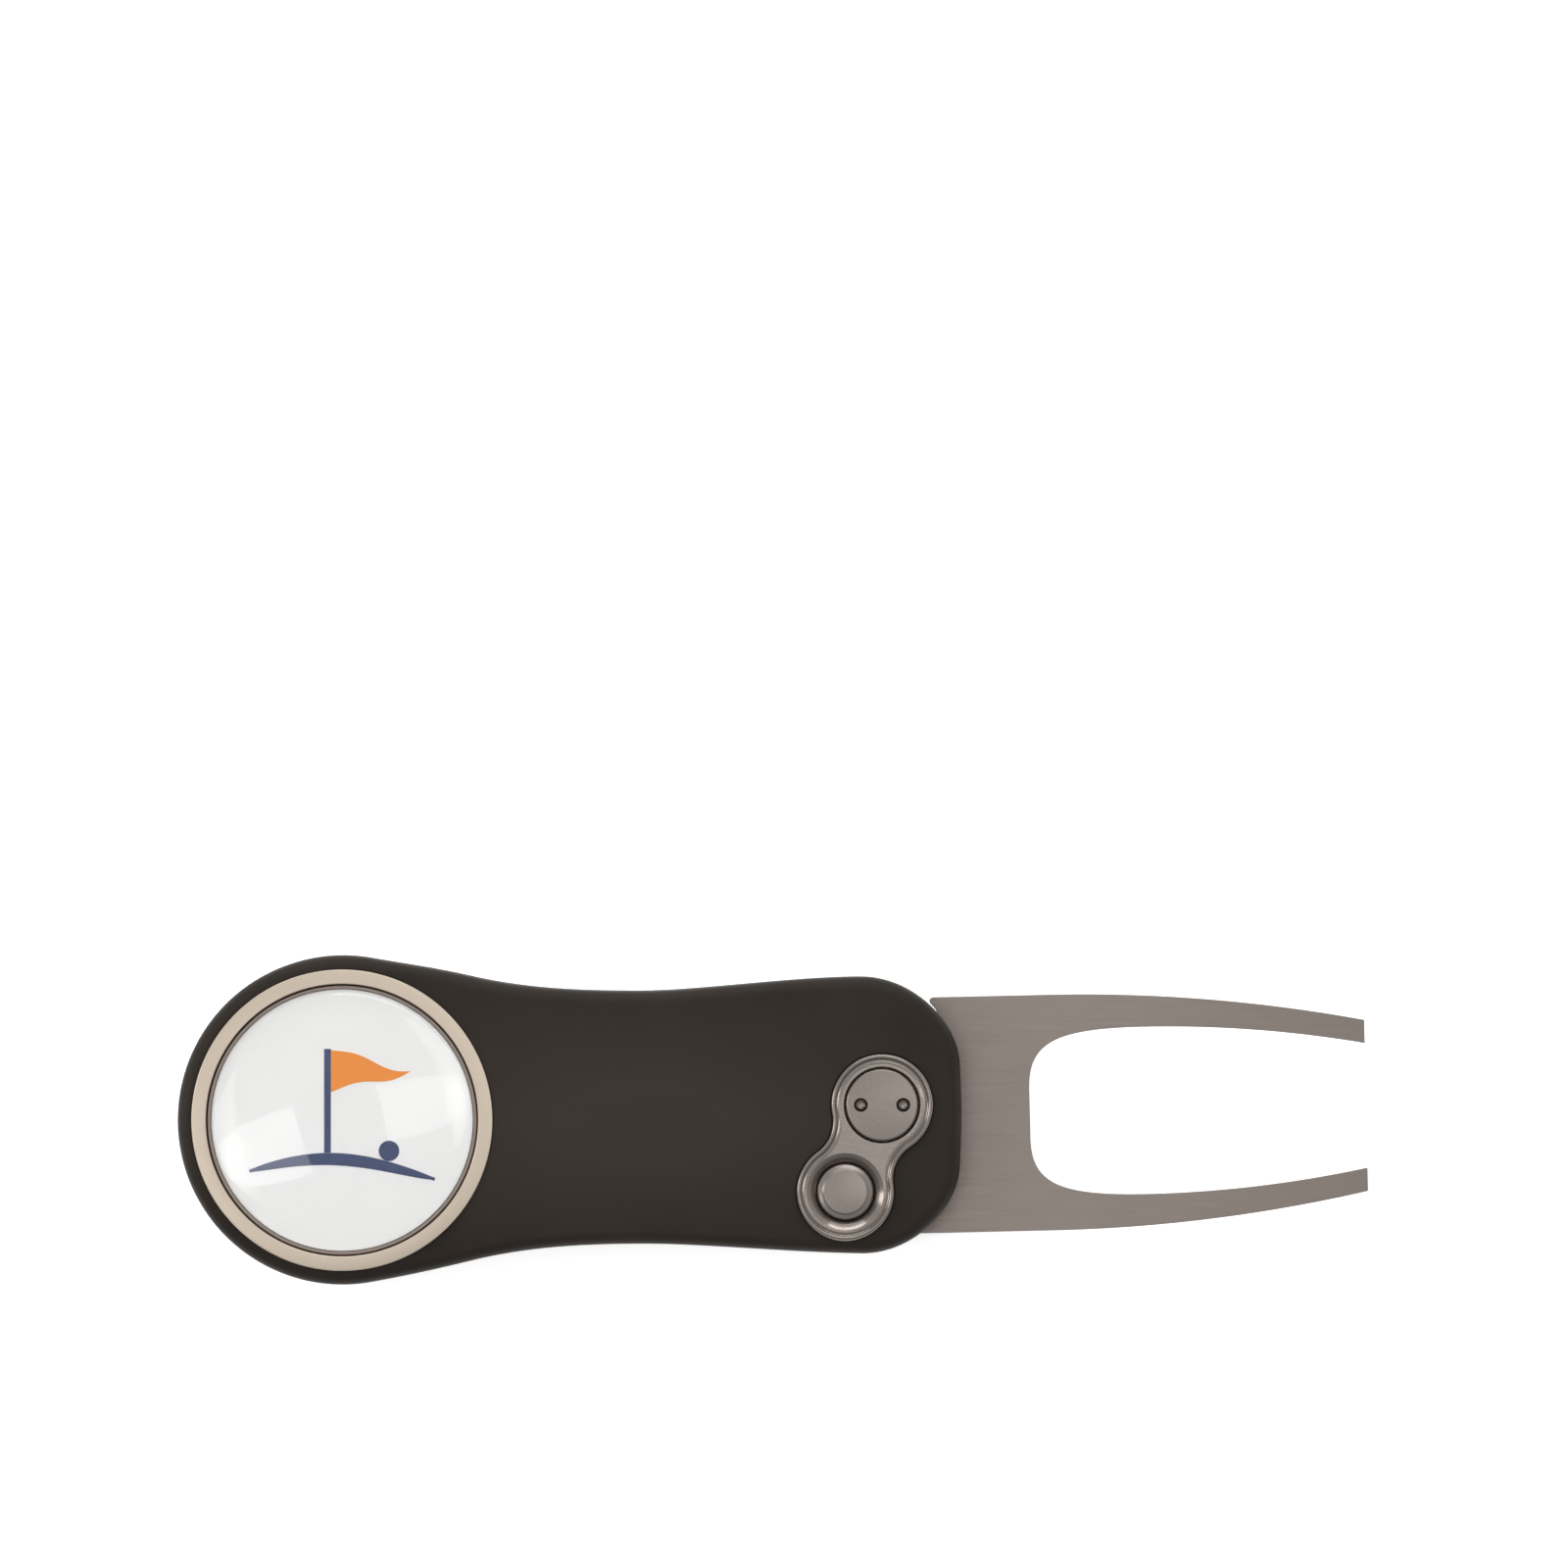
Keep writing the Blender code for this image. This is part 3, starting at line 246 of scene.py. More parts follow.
def fork_knots():
    """Anticlockwise from the heel: the lower edge, the lower prong, the window, the upper
    prong, the shoulder, the folded notch, the round tang and the open notch."""
    low, high = FORK_MIDDLE - FORK_HALF, FORK_MIDDLE + FORK_HALF
    flare_run = FORK_TIP - FLARE_START
    flare = math.degrees(math.atan(2 * (FORK_HALF - FORK_TIP_HALF) / flare_run))
    flare_reach = flare_run / 3
    taper_run = FORK_TIP - WINDOW_WIDEST
    taper = math.degrees(math.atan(2 * (WINDOW_HALF - WINDOW_TIP_HALF) / taper_run))
    taper_reach = taper_run / 3
    across = WINDOW_CORNER_ACROSS
    along = WINDOW_CORNER_ALONG
    heel_x, heel_y = HEEL + HEEL_ROUNDING, low + HEEL_ROUNDING
    shoulder_x, shoulder_y = SHOULDER + SHOULDER_ROUNDING, high - SHOULDER_ROUNDING
    open_angle = BUTTON_ANGLE - REST_TILT
    fold_angle = open_angle - FOLD_ANGLE
    return [
        *arc(heel_x, heel_y, HEEL_ROUNDING, 180, 270),
        smooth(FLARE_START, low, 0, 0, flare_reach),
        smooth(FORK_TIP, FORK_MIDDLE - FORK_TIP_HALF, flare, flare_reach, 0),
        smooth(FORK_TIP, FORK_MIDDLE - WINDOW_TIP_HALF, 180 + taper, 0, taper_reach),
        smooth(WINDOW_WIDEST, FORK_MIDDLE - WINDOW_HALF, 180, taper_reach, along),
        smooth(WINDOW_START, FORK_MIDDLE - WINDOW_START_HALF, 90, across, 0),
        smooth(WINDOW_START, FORK_MIDDLE + WINDOW_START_HALF, 90, 0, across),
        smooth(WINDOW_WIDEST, FORK_MIDDLE + WINDOW_HALF, 0, along, taper_reach),
        smooth(FORK_TIP, FORK_MIDDLE + WINDOW_TIP_HALF, -taper, taper_reach, 0),
        smooth(FORK_TIP, FORK_MIDDLE + FORK_TIP_HALF, 180 - flare, 0, flare_reach),
        smooth(FLARE_START, high, 180, flare_reach, 0),
        *arc(shoulder_x, shoulder_y, SHOULDER_ROUNDING, 90, 180 + SHOULDER_SLANT),
        *chain(
            notch_knots(fold_angle, SHOULDER_SLANT, fold_angle - 180),
            arc(0, 0, BUTTON_APART - NOTCH_RADIUS, fold_angle, open_angle),
            notch_knots(open_angle, open_angle - 180, HEEL_SLANT),
        ),
    ]


# ---------------------------------------------------------------- mesh tools


def new_object(name, points, faces):
    """A mesh object from points in millimetres."""
    mesh = bpy.data.meshes.new(name)
    mesh.from_pydata([Vector(p) * MM for p in points], [], faces)
    mesh.update()
    obj = bpy.data.objects.new(name, mesh)
    bpy.context.scene.collection.objects.link(obj)
    return obj


def shade(obj, angle=32):
    obj.data.shade_smooth()
    obj.data.set_sharp_from_angle(angle=math.radians(angle))
    return obj


def stack(name, rings):
    """A closed body through rings of as many points each, with flat first and last faces."""
    count = len(rings[0])
    points = [point for ring in rings for point in ring]
    faces = []
    for level in range(len(rings) - 1):
        for i in range(count):
            after = (i + 1) % count
            low = level * count
            high = low + count
            faces.append((low + i, low + after, high + after, high + i))
    faces.append(tuple(reversed(range(count))))
    faces.append(tuple(range((len(rings) - 1) * count, len(rings) * count)))
    return new_object(name, points, faces)


def softened(profile, size, closed=False, steps=4):
    """A profile with its corners rounded; an open profile keeps its two ends."""
    count = len(profile)
    places = range(count) if closed else range(1, count - 1)
    rounded = [] if closed else [Vector(profile[0])]
    for i in places:
        before = Vector(profile[i - 1])
        here = Vector(profile[i])
        after = Vector(profile[(i + 1) % count])
        room = min((before - here).length, (after - here).length) * 0.45
        cut = min(size, room)
        start = here + (before - here).normalized() * cut
        end = here + (after - here).normalized() * cut
        for step in range(steps + 1):
            t = step / steps
            rounded.append(start * (1 - t) ** 2 + here * 2 * t * (1 - t) + end * t**2)
    if not closed:
        rounded.append(Vector(profile[-1]))
    return rounded


def lathe(name, profile, centre, sides=128, closed=False, along_x=False):
    """A body turned about Z, or about X. The profile is (radius, height), down its outer
    side; an open one starts and ends on the axis."""
    points = []
    faces = []
    rows = []
    for radius, height in profile:
        row = []
        for i in range(1 if radius < 1e-6 else sides):
            angle = 2 * math.pi * i / sides
            across = (radius * math.cos(angle), radius * math.sin(angle))
            if along_x:
                offset = Vector((height, across[0], across[1]))
            else:
                offset = Vector((across[0], across[1], height))
            row.append(len(points))
            points.append(Vector(centre) + offset)
        rows.append(row)
    pairs = list(zip(rows, rows[1:]))
    if closed:
        pairs.append((rows[-1], rows[0]))
    for upper, lower in pairs:
        for i in range(sides):
            after = (i + 1) % sides
            face = [
                upper[i % len(upper)],
                lower[i % len(lower)],
                lower[after % len(lower)],
                upper[after % len(upper)],
            ]
            kept = [v for k, v in enumerate(face) if v not in face[:k]]
            if len(kept) > 2:
                faces.append(kept)
    return shade(new_object(name, points, faces))


def plate(name, points, low, high, place=(0, 0), turned_by=0.0):
    """A flat outline given a thickness."""
    turn = math.radians(turned_by)
    placed = []
    for point in points:
        x = point.x * math.cos(turn) - point.y * math.sin(turn)
        y = point.x * math.sin(turn) + point.y * math.cos(turn)
        placed.append((x + place[0], y + place[1]))
    rings = [[(x, y, height) for x, y in placed] for height in (low, high)]
    return stack(name, rings)


def drum(name, radius, low, high, place, sides=96):
    """A plain cylinder, for cutting."""
    profile = [(0, high), (radius, high), (radius, low), (0, low)]
    return lathe(name, profile, (place[0], place[1], 0), sides)


def baked(obj):
    """Puts what an object's modifiers make into its mesh."""
    bpy.context.view_layer.update()
    graph = bpy.context.evaluated_depsgraph_get()
    mesh = bpy.data.meshes.new_from_object(obj.evaluated_get(graph))
    obj.modifiers.clear()
    obj.data = mesh
    return obj


def carve(obj, *cutters, operation="DIFFERENCE"):
    """Cuts solids away from an object, or with INTERSECT keeps only what lies in them, and
    then removes the solids."""
    for cutter in cutters:
        modifier = obj.modifiers.new("cut", "BOOLEAN")
        modifier.operation = operation
        modifier.solver = "MANIFOLD"
        modifier.object = cutter
    weld = obj.modifiers.new("weld", "WELD")
    weld.merge_threshold = 0.002 * MM
    baked(obj)
    for cutter in cutters:
        bpy.data.objects.remove(cutter)
    return obj


def even(obj):
    """Lets the large flat faces set the shading of the small ones beside them."""
    modifier = obj.modifiers.new("shading", "WEIGHTED_NORMAL")
    modifier.keep_sharp = True
    modifier.weight = 80
    return baked(obj)


def bevel(obj, width, segments=2, angle=40):
    modifier = obj.modifiers.new("edge", "BEVEL")
    modifier.width = width * MM
    modifier.segments = segments
    modifier.limit_method = "ANGLE"
    modifier.angle_limit = math.radians(angle)
    modifier.harden_normals = False
    return baked(obj)


def put(obj, body, slot, material, *nodes):
    """Gives a finished piece its body and its finish, and hides the nodes it stands for. The slot
    is not used.
    """
    obj.data.materials.clear()
    obj.data.materials.append(material)
    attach(obj, body)
    if nodes:
        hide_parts(*nodes)
    return obj


# ---------------------------------------------------------------- finishes


class Finish:
    """A material under construction: a Principled shader and the nodes that feed it."""

    def __init__(self, name, **sockets):
        self.material = bpy.data.materials.new(name)
        self.material.use_nodes = True
        self.tree = self.material.node_tree
        self.shader = self.tree.nodes["Principled BSDF"]
        coordinates = self.tree.nodes.new("ShaderNodeTexCoord")
        self.place = coordinates.outputs["Object"]
        for name_of, value in sockets.items():
            socket = self.shader.inputs[name_of.replace("_", " ")]
            socket.default_value = (*value, 1) if isinstance(value, tuple) else value

    def node(self, kind, inputs=None, **settings):
        made = self.tree.nodes.new(kind)
        for key, value in settings.items():
            setattr(made, key, value)
        for key, value in (inputs or {}).items():
            socket = made.inputs[key]
            if isinstance(value, bpy.types.NodeSocket):
                self.tree.links.new(value, socket)
            else:
                socket.default_value = value
        return made

    def stretched(self, x, y, z, turned_by=0.0):
        """The place, scaled along each axis, to make grain that runs one way."""
        return self.node(
            "ShaderNodeMapping",
            {
                "Vector": self.place,
                "Scale": (x, y, z),
                "Rotation": (0, 0, math.radians(turned_by)),
            },
        ).outputs[0]

    def noise(self, size, detail=3.0, vector=None):
        """Noise whose features are about this many millimetres across."""
        return self.node(
            "ShaderNodeTexNoise",
            {
                "Vector": vector or self.place,
                "Scale": 1 / (size * MM),
                "Detail": detail,
            },
        ).outputs["Fac"]

    def turning(self, centre, size):
        """Fine rings about an upright axis, as a lathe leaves."""
        moved = self.node(
            "ShaderNodeVectorMath",
            {0: self.place, 1: (centre[0] * MM, centre[1] * MM, 0)},
            operation="SUBTRACT",
        ).outputs[0]
        flat = self.node(
            "ShaderNodeVectorMath", {0: moved, 1: (1, 1, 0)}, operation="MULTIPLY"
        ).outputs[0]
        radius = self.node(
            "ShaderNodeVectorMath", {0: flat}, operation="LENGTH"
        ).outputs["Value"]
        return self.node(
            "ShaderNodeTexNoise",
            {"W": radius, "Scale": 1 / (size * MM), "Detail": 2.0},
            noise_dimensions="1D",
        ).outputs["Fac"]

    def away_from(self, centre, reach_x, reach_y):
        """How far out a place is from an upright ellipse's middle: 1 on the ellipse."""
        moved = self.node(
            "ShaderNodeVectorMath",
            {0: self.place, 1: (centre[0] * MM, centre[1] * MM, 0)},
            operation="SUBTRACT",
        ).outputs[0]
        scaled = self.node(
            "ShaderNodeVectorMath",
            {0: moved, 1: (1 / (reach_x * MM), 1 / (reach_y * MM), 0)},
            operation="MULTIPLY",
        ).outputs[0]
        return self.node(
            "ShaderNodeVectorMath", {0: scaled}, operation="LENGTH"
        ).outputs["Value"]

    def between(self, value, low, high, start=0.3, end=0.7):
        """A value's stretch from start to end, made to run from low to high."""
        return self.node(
            "ShaderNodeMapRange",
            {
                "Value": value,
                "From Min": start,
                "From Max": end,
                "To Min": low,
                "To Max": high,
            },
        ).outputs["Result"]

    def mix(self, factor, first, second):
        made = self.node("ShaderNodeMix", data_type="RGBA")
        self.tree.links.new(factor, made.inputs[0])
        for number, value in ((6, first), (7, second)):
            if isinstance(value, bpy.types.NodeSocket):
                self.tree.links.new(value, made.inputs[number])
            else:
                made.inputs[number].default_value = (*value, 1)
        return made.outputs[2]

    def feed(self, socket, value):
        self.tree.links.new(value, self.shader.inputs[socket])

    def bump(self, *layers):
        """Bumps laid over each other, each (height, strength, depth in millimetres)."""
        normal = None
        for height, strength, depth in layers:
            inputs = {"Height": height, "Strength": strength, "Distance": depth * MM}
            if normal is not None:
                inputs["Normal"] = normal
            normal = self.node("ShaderNodeBump", inputs).outputs["Normal"]
        self.feed("Normal", normal)


def soft_touch(name, colour, lighter, roughness):
    """Rubbery paint: a very fine pebble, broad cloudiness, and a painted sheen that makes the
    middle of the face paler."""
    made = Finish(name, Base_Color=colour, Roughness=roughness, Specular_IOR_Level=0.12)
    cloud = made.noise(9.0, 4.0)
    speck = made.noise(0.35, 2.0)
    pebble = made.noise(0.16, 3.0)
    rubbed = made.noise(3.0, 5.0, made.stretched(0.35, 1, 1, 12))
    # Painted sheen: the face is paler towards the middle of the handle, standing in for light on
    # it.
    painted_sheen = made.between(made.away_from(SHEEN_MIDDLE, *SHEEN_REACH), 0.95, 0.05, 0.25, 0.95)
    tone = made.mix(painted_sheen, colour, lighter)
    clouded = made.mix(made.between(cloud, 0, 0.3), tone, lighter)
    dusted = made.mix(made.between(speck, 0, 0.3, 0.62, 0.8), clouded, lighter)
    made.feed("Base Color", dusted)
    made.feed("Roughness", made.between(rubbed, roughness - 0.05, roughness + 0.05))
    made.bump((cloud, 0.05, 0.05), (pebble, 0.35, 0.012))
    return made.material


def coated_steel(name, colour, darker, roughness, angle=0.0, tip_shade=None):
    """Flat steel under a thin satin coating, with the grinding showing faintly through. Given a
    tip shade colour, the far end is painted darker towards the tips, as painted shade."""
    made = Finish(name, Base_Color=colour, Metallic=0.85, Roughness=roughness)
    lines = made.noise(0.22, 3.0, made.stretched(0.04, 1, 1, -angle))
    cloud = made.noise(7.0, 3.0)
    fine = made.noise(0.09, 2.0)
    tone = made.mix(made.between(cloud, 0, 0.6), colour, darker)
    lined = made.mix(made.between(lines, 0, 0.35), tone, darker)
    if tip_shade:
        # Painted shade: the coating turns darker towards the prongs' tips.
        painted_tip_shade = made.between(made.away_from(PIVOT, *TIP_SHADE_REACH), 0, 1, 0.45, 1.0)
        lined = made.mix(painted_tip_shade, lined, tip_shade)
    made.feed("Base Color", lined)
    made.feed("Roughness", made.between(lines, roughness - 0.05, roughness + 0.07))
    made.bump((lines, 0.10, 0.006), (fine, 0.22, 0.006))
    return made.material


def polished_trim(name, colour, lighter, roughness):
    """Plated metal, nearly smooth, with a soft unevenness and hairline scratches."""
    made = Finish(name, Base_Color=colour, Metallic=1.0, Roughness=roughness)
    wave = made.noise(2.6, 2.0)
    grain = made.noise(0.07, 2.0)
    scratches = made.noise(0.10, 4.0, made.stretched(0.05, 1, 1, 35))
    tone = made.mix(made.between(wave, 0, 0.6), colour, lighter)
    made.feed("Base Color", tone)
    made.feed("Roughness", made.between(scratches, roughness - 0.03, roughness + 0.07))
    made.bump((wave, 0.04, 0.02), (scratches, 0.04, 0.003), (grain, 0.08, 0.003))
    return made.material


def turned_metal(name, colour, darker, roughness, centre, metallic=1.0):
    """Metal faced on a lathe, with fine rings about its axis."""
    made = Finish(name, Base_Color=colour, Metallic=metallic, Roughness=roughness)
    rings = made.turning(centre, 0.09)
    grain = made.noise(0.08, 2.0)
    cloud = made.noise(3.5, 3.0)
    tone = made.mix(made.between(rings, 0, 0.4), colour, darker)
    clouded = made.mix(made.between(cloud, 0, 0.3), tone, darker)
    made.feed("Base Color", clouded)
    made.feed("Roughness", made.between(grain, roughness - 0.03, roughness + 0.04))
    made.bump((rings, 0.005, 0.004), (grain, 0.06, 0.004))
    return made.material


def moulded(name, colour, lighter, roughness):
    """Plain moulded plastic with a spark-eroded texture."""
    made = Finish(name, Base_Color=colour, Roughness=roughness, Specular_IOR_Level=0.15)
    texture = made.noise(0.25, 3.0)
    cloud = made.noise(4.0, 3.0)
    made.feed("Base Color", made.mix(made.between(cloud, 0, 1), colour, lighter))
    made.feed("Roughness", made.between(texture, roughness - 0.06, roughness + 0.06))
    made.bump((texture, 0.4, 0.02))
    return made.material


def clear_resin(name):
    """Poured resin: clear, glossy and very slightly uneven."""
    made = Finish(
        name,
        Base_Color=(0.985, 0.985, 0.98),
        Roughness=0.03,
        IOR=1.43,
        Transmission_Weight=1.0,
    )
    swell = made.noise(5.0, 1.0)
    film = made.noise(0.8, 2.0)
    made.feed("Roughness", made.between(film, 0.015, 0.05))
    made.bump((swell, 0.12, 0.06))
    return made.material


def printed(name, colour, darker, dots):
    """Ink or film under the resin, with a faint printing grain."""
    made = Finish(name, Base_Color=colour, Roughness=0.45, Specular_IOR_Level=0.1)
    grain = made.noise(dots, 2.0)
    made.feed("Base Color", made.mix(made.between(grain, 0, 1), colour, darker))
    made.feed("Roughness", made.between(grain, 0.4, 0.52))
    return made.material


# Where light and shade are painted into the coatings: the middle and reach of the paler painted
# sheen on the shell, and the reach of the painted shade towards the prongs' tips.
SHEEN_MIDDLE = (-12.0, 0.0)
SHEEN_REACH = (34, 13)
TIP_SHADE_REACH = (45, 45)
SHELL = soft_touch("shell_soft_touch", (0.0115, 0.0081, 0.0055), (0.0247, 0.0190, 0.0150), 0.50)
SPACER = moulded("spacer_plastic", (0.016, 0.0128, 0.0105), (0.021, 0.0172, 0.0145), 0.5)
# The fork's last colour is painted shade for the prongs' tips.
FORK = coated_steel(
    "fork_coating",
    (0.191, 0.164, 0.147),
    (0.175, 0.150, 0.135),
    0.40,
    REST_TILT,
    (0.157, 0.136, 0.120),
)
TRIM = polished_trim("trim_plating", (0.164, 0.143, 0.128), (0.180, 0.158, 0.143), 0.18)
SCREW = turned_metal("screw_plating", (0.178, 0.155, 0.139), (0.167, 0.145, 0.130), 0.26, PIVOT)
CAP = turned_metal("button_plating", (0.177, 0.155, 0.140), (0.166, 0.145, 0.131), 0.24, BUTTON)
RING = turned_metal("ring_anodised", (0.408, 0.346, 0.282), (0.372, 0.316, 0.258), 0.34, HEAD, 0.9)
MARKER = turned_metal("marker_plating", (0.20, 0.165, 0.145), (0.17, 0.14, 0.124), 0.34, HEAD)
NICKEL = turned_metal("magnet_nickel", (0.50, 0.49, 0.47), (0.42, 0.41, 0.40), 0.25, HEAD)
STEEL = polished_trim("hardware_steel", (0.42, 0.42, 0.425), (0.48, 0.48, 0.485), 0.28)
BRONZE = polished_trim("washer_bronze", (0.42, 0.27, 0.12), (0.50, 0.33, 0.16), 0.38)
ALLOY = polished_trim("sharpener_alloy", (0.40, 0.40, 0.41), (0.47, 0.47, 0.48), 0.34)
BLADE = coated_steel("blade_steel", (0.30, 0.32, 0.36), (0.22, 0.24, 0.29), 0.28)
RESIN = clear_resin("marker_resin")
LABEL = printed("marker_label", (0.965, 0.965, 0.965), (0.945, 0.945, 0.945), 0.3)
NAVY = printed("ink_navy", (0.012, 0.034, 0.130), (0.018, 0.042, 0.145), 0.15)
ORANGE = printed("ink_orange", (0.95, 0.29, 0.008), (0.90, 0.26, 0.006), 0.15)


# ---------------------------------------------------------------- the shells and spacers

# The sharpener: its mouth, the cone that the pencil goes into, and where the blade lies.
MOUTH_RADIUS = 3.7
MOUTH_LENGTH = 1.2
CONE_ANGLE = 12.0
BLADE_IN = 8.3
BLADE_RISE = 0.35
SHARPENER_END = 1.6
COLLAR_LENGTH = 2.0

# The shells' faces, rounded edges and crown, which stops a little short of the middle.
FRONT_FACE = 12.3
REAR_FACE = 0.0
FRONT_CROWN = 1.0
LIP = 0.3
EDGE_RADIUS = 1.3
EDGE_END = 87.0
EDGE_STEPS = 12
CROWN_STEPS = 14
CROWN_SHARE = 0.92
SPINE_RIGHT = 4.6

# Radii of the rooms in the shells, each a little more than what stands in it.
MARKER_ROOM = 14.04
MAGNET_ROOM = 4.15
BARREL_ROOM = 2.65
CAP_ROOM = 2.95
FLANGE_ROOM = 3.4
NUT_ROOM = 4.15
SPRING_ROOM = 4.3
PUSH_ROOM = 2.0
ANCHOR_ROOM = 0.55
PILOT_HOLE = 1.0
SCREW_HOLE = 1.05
SCREW_HEAD_ROOM = 1.9

# The floor under the opening spring, and the gap between a part and its seat.
SPRING_FLOOR = 2.85
SEAT_GAP = 0.05

# Heights safely past both faces, for cutters.
CLEAR_BELOW = -3.0
CLEAR_ABOVE = 17.0
OVER_PLATE = 14.5


def toward_spine(point):
    """The way from a point of the outline to the handle's middle line, and how far."""
    x = min(max(point.x, HEAD.x), SPINE_RIGHT)
    share = (x - HEAD.x) / (SPINE_RIGHT - HEAD.x)
    way = Vector((x, HANDLE_END_Y * share)) - point
    return way.normalized(), way.length


def shell_rings(points, split, outer, direction, crown):
    """Rings from the split face, up the wall, round the edge and over the crowned face.
    direction is 1 for a shell that faces up and -1 for one that faces down."""
    ways = [toward_spine(point) for point in points]
    levels = [(0.3, split), (0.08, split + 0.1 * direction), (0.0, split + LIP * direction)]
    rise = outer - EDGE_RADIUS * math.sin(math.radians(EDGE_END)) * direction
    for step in range(EDGE_STEPS + 1):
        angle = math.radians(EDGE_END * step / EDGE_STEPS)
        in_by = EDGE_RADIUS * (1 - math.cos(angle))
        levels.append((in_by, rise + EDGE_RADIUS * math.sin(angle) * direction))
    rings = []
    for in_by, height in levels:
        ring = []
        for point, (way, _) in zip(points, ways):
            place = point + way * in_by
            ring.append((place.x, place.y, height))
        rings.append(ring)
    start = levels[-1][0]
    slope = crown / math.tan(math.radians(EDGE_END))
    for step in range(1, CROWN_STEPS + 1):
        ring = []
        for point, (way, reach) in zip(points, ways):
            run = reach - start
            gone = run * CROWN_SHARE * step / CROWN_STEPS
            place = point + way * (start + gone)
            height = outer + direction * slope * (gone - gone**2 / (2 * run))
            ring.append((place.x, place.y, height))
        rings.append(ring)
    return rings


def sharpener_hollow(grow):
    """Room for the sharpener body, from outside the head inwards."""
    low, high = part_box("sharpener_body")
    start = low.x / MM
    length = (high.x - low.x) / MM
    collar = (high.z - low.z) / 2 / MM
    middle = (low + high) / 2 / MM
    outside = -3.0
    profile = [
        (0, length + 2 * grow),
        (SHARPENER_END + grow, length + 2 * grow),
        (collar + grow, COLLAR_LENGTH),
        (collar + grow, outside),
        (0, outside),
    ]
    return lathe(f"hollow_{grow}", profile, (start, 0, middle.z), 96, along_x=True)


def blade_block(name, low, high):
    """A block lying along the flat that the blade sits on, which slopes with the cone."""
    body_low, body_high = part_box("sharpener_body")
    slope = math.radians(CONE_ANGLE)
    rise = MOUTH_RADIUS - (BLADE_IN - MOUTH_LENGTH) * math.tan(slope) + BLADE_RISE
    middle_z = (body_low.z + body_high.z) / 2 / MM
    rings = []
    for z in (low[2], high[2]):
        ring = []
        for x, y in ((low[0], low[1]), (high[0], low[1]), (high[0], high[1]), (low[0], high[1])):
            along = x * math.cos(slope) + z * math.sin(slope)
            up = z * math.cos(slope) - x * math.sin(slope)
            ring.append((body_low.x / MM + BLADE_IN + along, y, middle_z + rise + up))
        rings.append(ring)
    return stack(name, rings)


def case_screw_holes(radius, low, high, numbers=(1, 2, 3)):
    return [
        drum(f"hole_{number}", radius, low, high, middle_of(f"case_screw_{number}"), 32)
        for number in numbers
    ]


def spring_leg_channel():
    """Room for the opening spring's fixed leg and for the pin beside it."""
    coil_radius = 3.45
    leg_length = 5.0
    leg_side = 0.6
    pin_side = 1.6
    start = math.radians(200)
    along = Vector((math.sin(start), -math.cos(start)))
    side = Vector((-along.y, along.x))
    near = Vector((math.cos(start), math.sin(start))) * coil_radius
    end = near + along * leg_length
    corners = [
        near - side * leg_side,
        end - side * leg_side,
        end + side * pin_side,
        near + side * pin_side,
    ]
    return plate("leg_channel", corners, SPRING_FLOOR, CLEAR_ABOVE, PIVOT)


def make_front_shell():
    points = outline(handle_knots(), 36)
    rings = shell_rings(points, SLOT_HIGH, FRONT_FACE, 1, FRONT_CROWN)
    shell = stack("front_shell_skin", rings)
    ring_low, _ = heights_of("marker_ring")
    pocket = drum("pocket", MARKER_ROOM, ring_low - SEAT_GAP, CLEAR_ABOVE, HEAD, 160)
    magnet_low, _ = heights_of("marker_magnet")
    magnet = drum("magnet_room", MAGNET_ROOM, magnet_low - SEAT_GAP, CLEAR_ABOVE, HEAD, 64)
    plate_low, _ = heights_of("escutcheon")
    knots = escutcheon_knots(0.02)
    recess = plate("recess", outline(knots, 24), plate_low - SEAT_GAP, CLEAR_ABOVE, PIVOT)
    barrel = drum("barrel_room", BARREL_ROOM, CLEAR_BELOW, CLEAR_ABOVE, PIVOT, 64)
    cap = drum("cap_room", CAP_ROOM, CLEAR_BELOW, CLEAR_ABOVE, BUTTON, 64)
    flange_top = heights_of("button_cap")[0] + 0.55
    flange = drum("flange_room", FLANGE_ROOM, CLEAR_BELOW, flange_top, BUTTON, 64)
    blade_room = blade_block("blade_room", (-5.4, -3.7, -3), (6.3, 3.7, 1.55))
    pilots = case_screw_holes(PILOT_HOLE, CLEAR_BELOW, heights_of("case_screw_1")[1] + 0.2)
    carve(shell, pocket, magnet, recess, barrel, cap, flange)
    carve(shell, sharpener_hollow(0.2), blade_room, *pilots)
    put(shade(shell), "handle", "shell_soft_touch", SHELL, "front_shell")


def make_rear_shell():
    points = outline(handle_knots(), 36)
    rings = shell_rings(points, SLOT_LOW, REAR_FACE, -1, 0.0)
    shell = stack("rear_shell_skin", [list(reversed(ring)) for ring in rings])
    cuts = [
        drum("barrel_room", BARREL_ROOM, CLEAR_BELOW, CLEAR_ABOVE, PIVOT, 64),
        drum("nut_room", NUT_ROOM, CLEAR_BELOW, 1.55, PIVOT, 96),
        drum("spring_room", SPRING_ROOM, SPRING_FLOOR, CLEAR_ABOVE, PIVOT, 64),
        drum("push_room", PUSH_ROOM, 1.35, CLEAR_ABOVE, BUTTON, 48),
        sharpener_hollow(0.2),
    ]
    cuts += case_screw_holes(SCREW_HOLE, CLEAR_BELOW, CLEAR_ABOVE)
    cuts += case_screw_holes(SCREW_HEAD_ROOM, CLEAR_BELOW, 1.75)
    anchor = middle_of("anchor_pin")
    cuts.append(drum("anchor_hole", ANCHOR_ROOM, 1.4, CLEAR_ABOVE, anchor, 32))
    carve(shell, *cuts, spring_leg_channel())
    put(shade(shell), "handle", "shell_soft_touch", SHELL, "rear_shell")


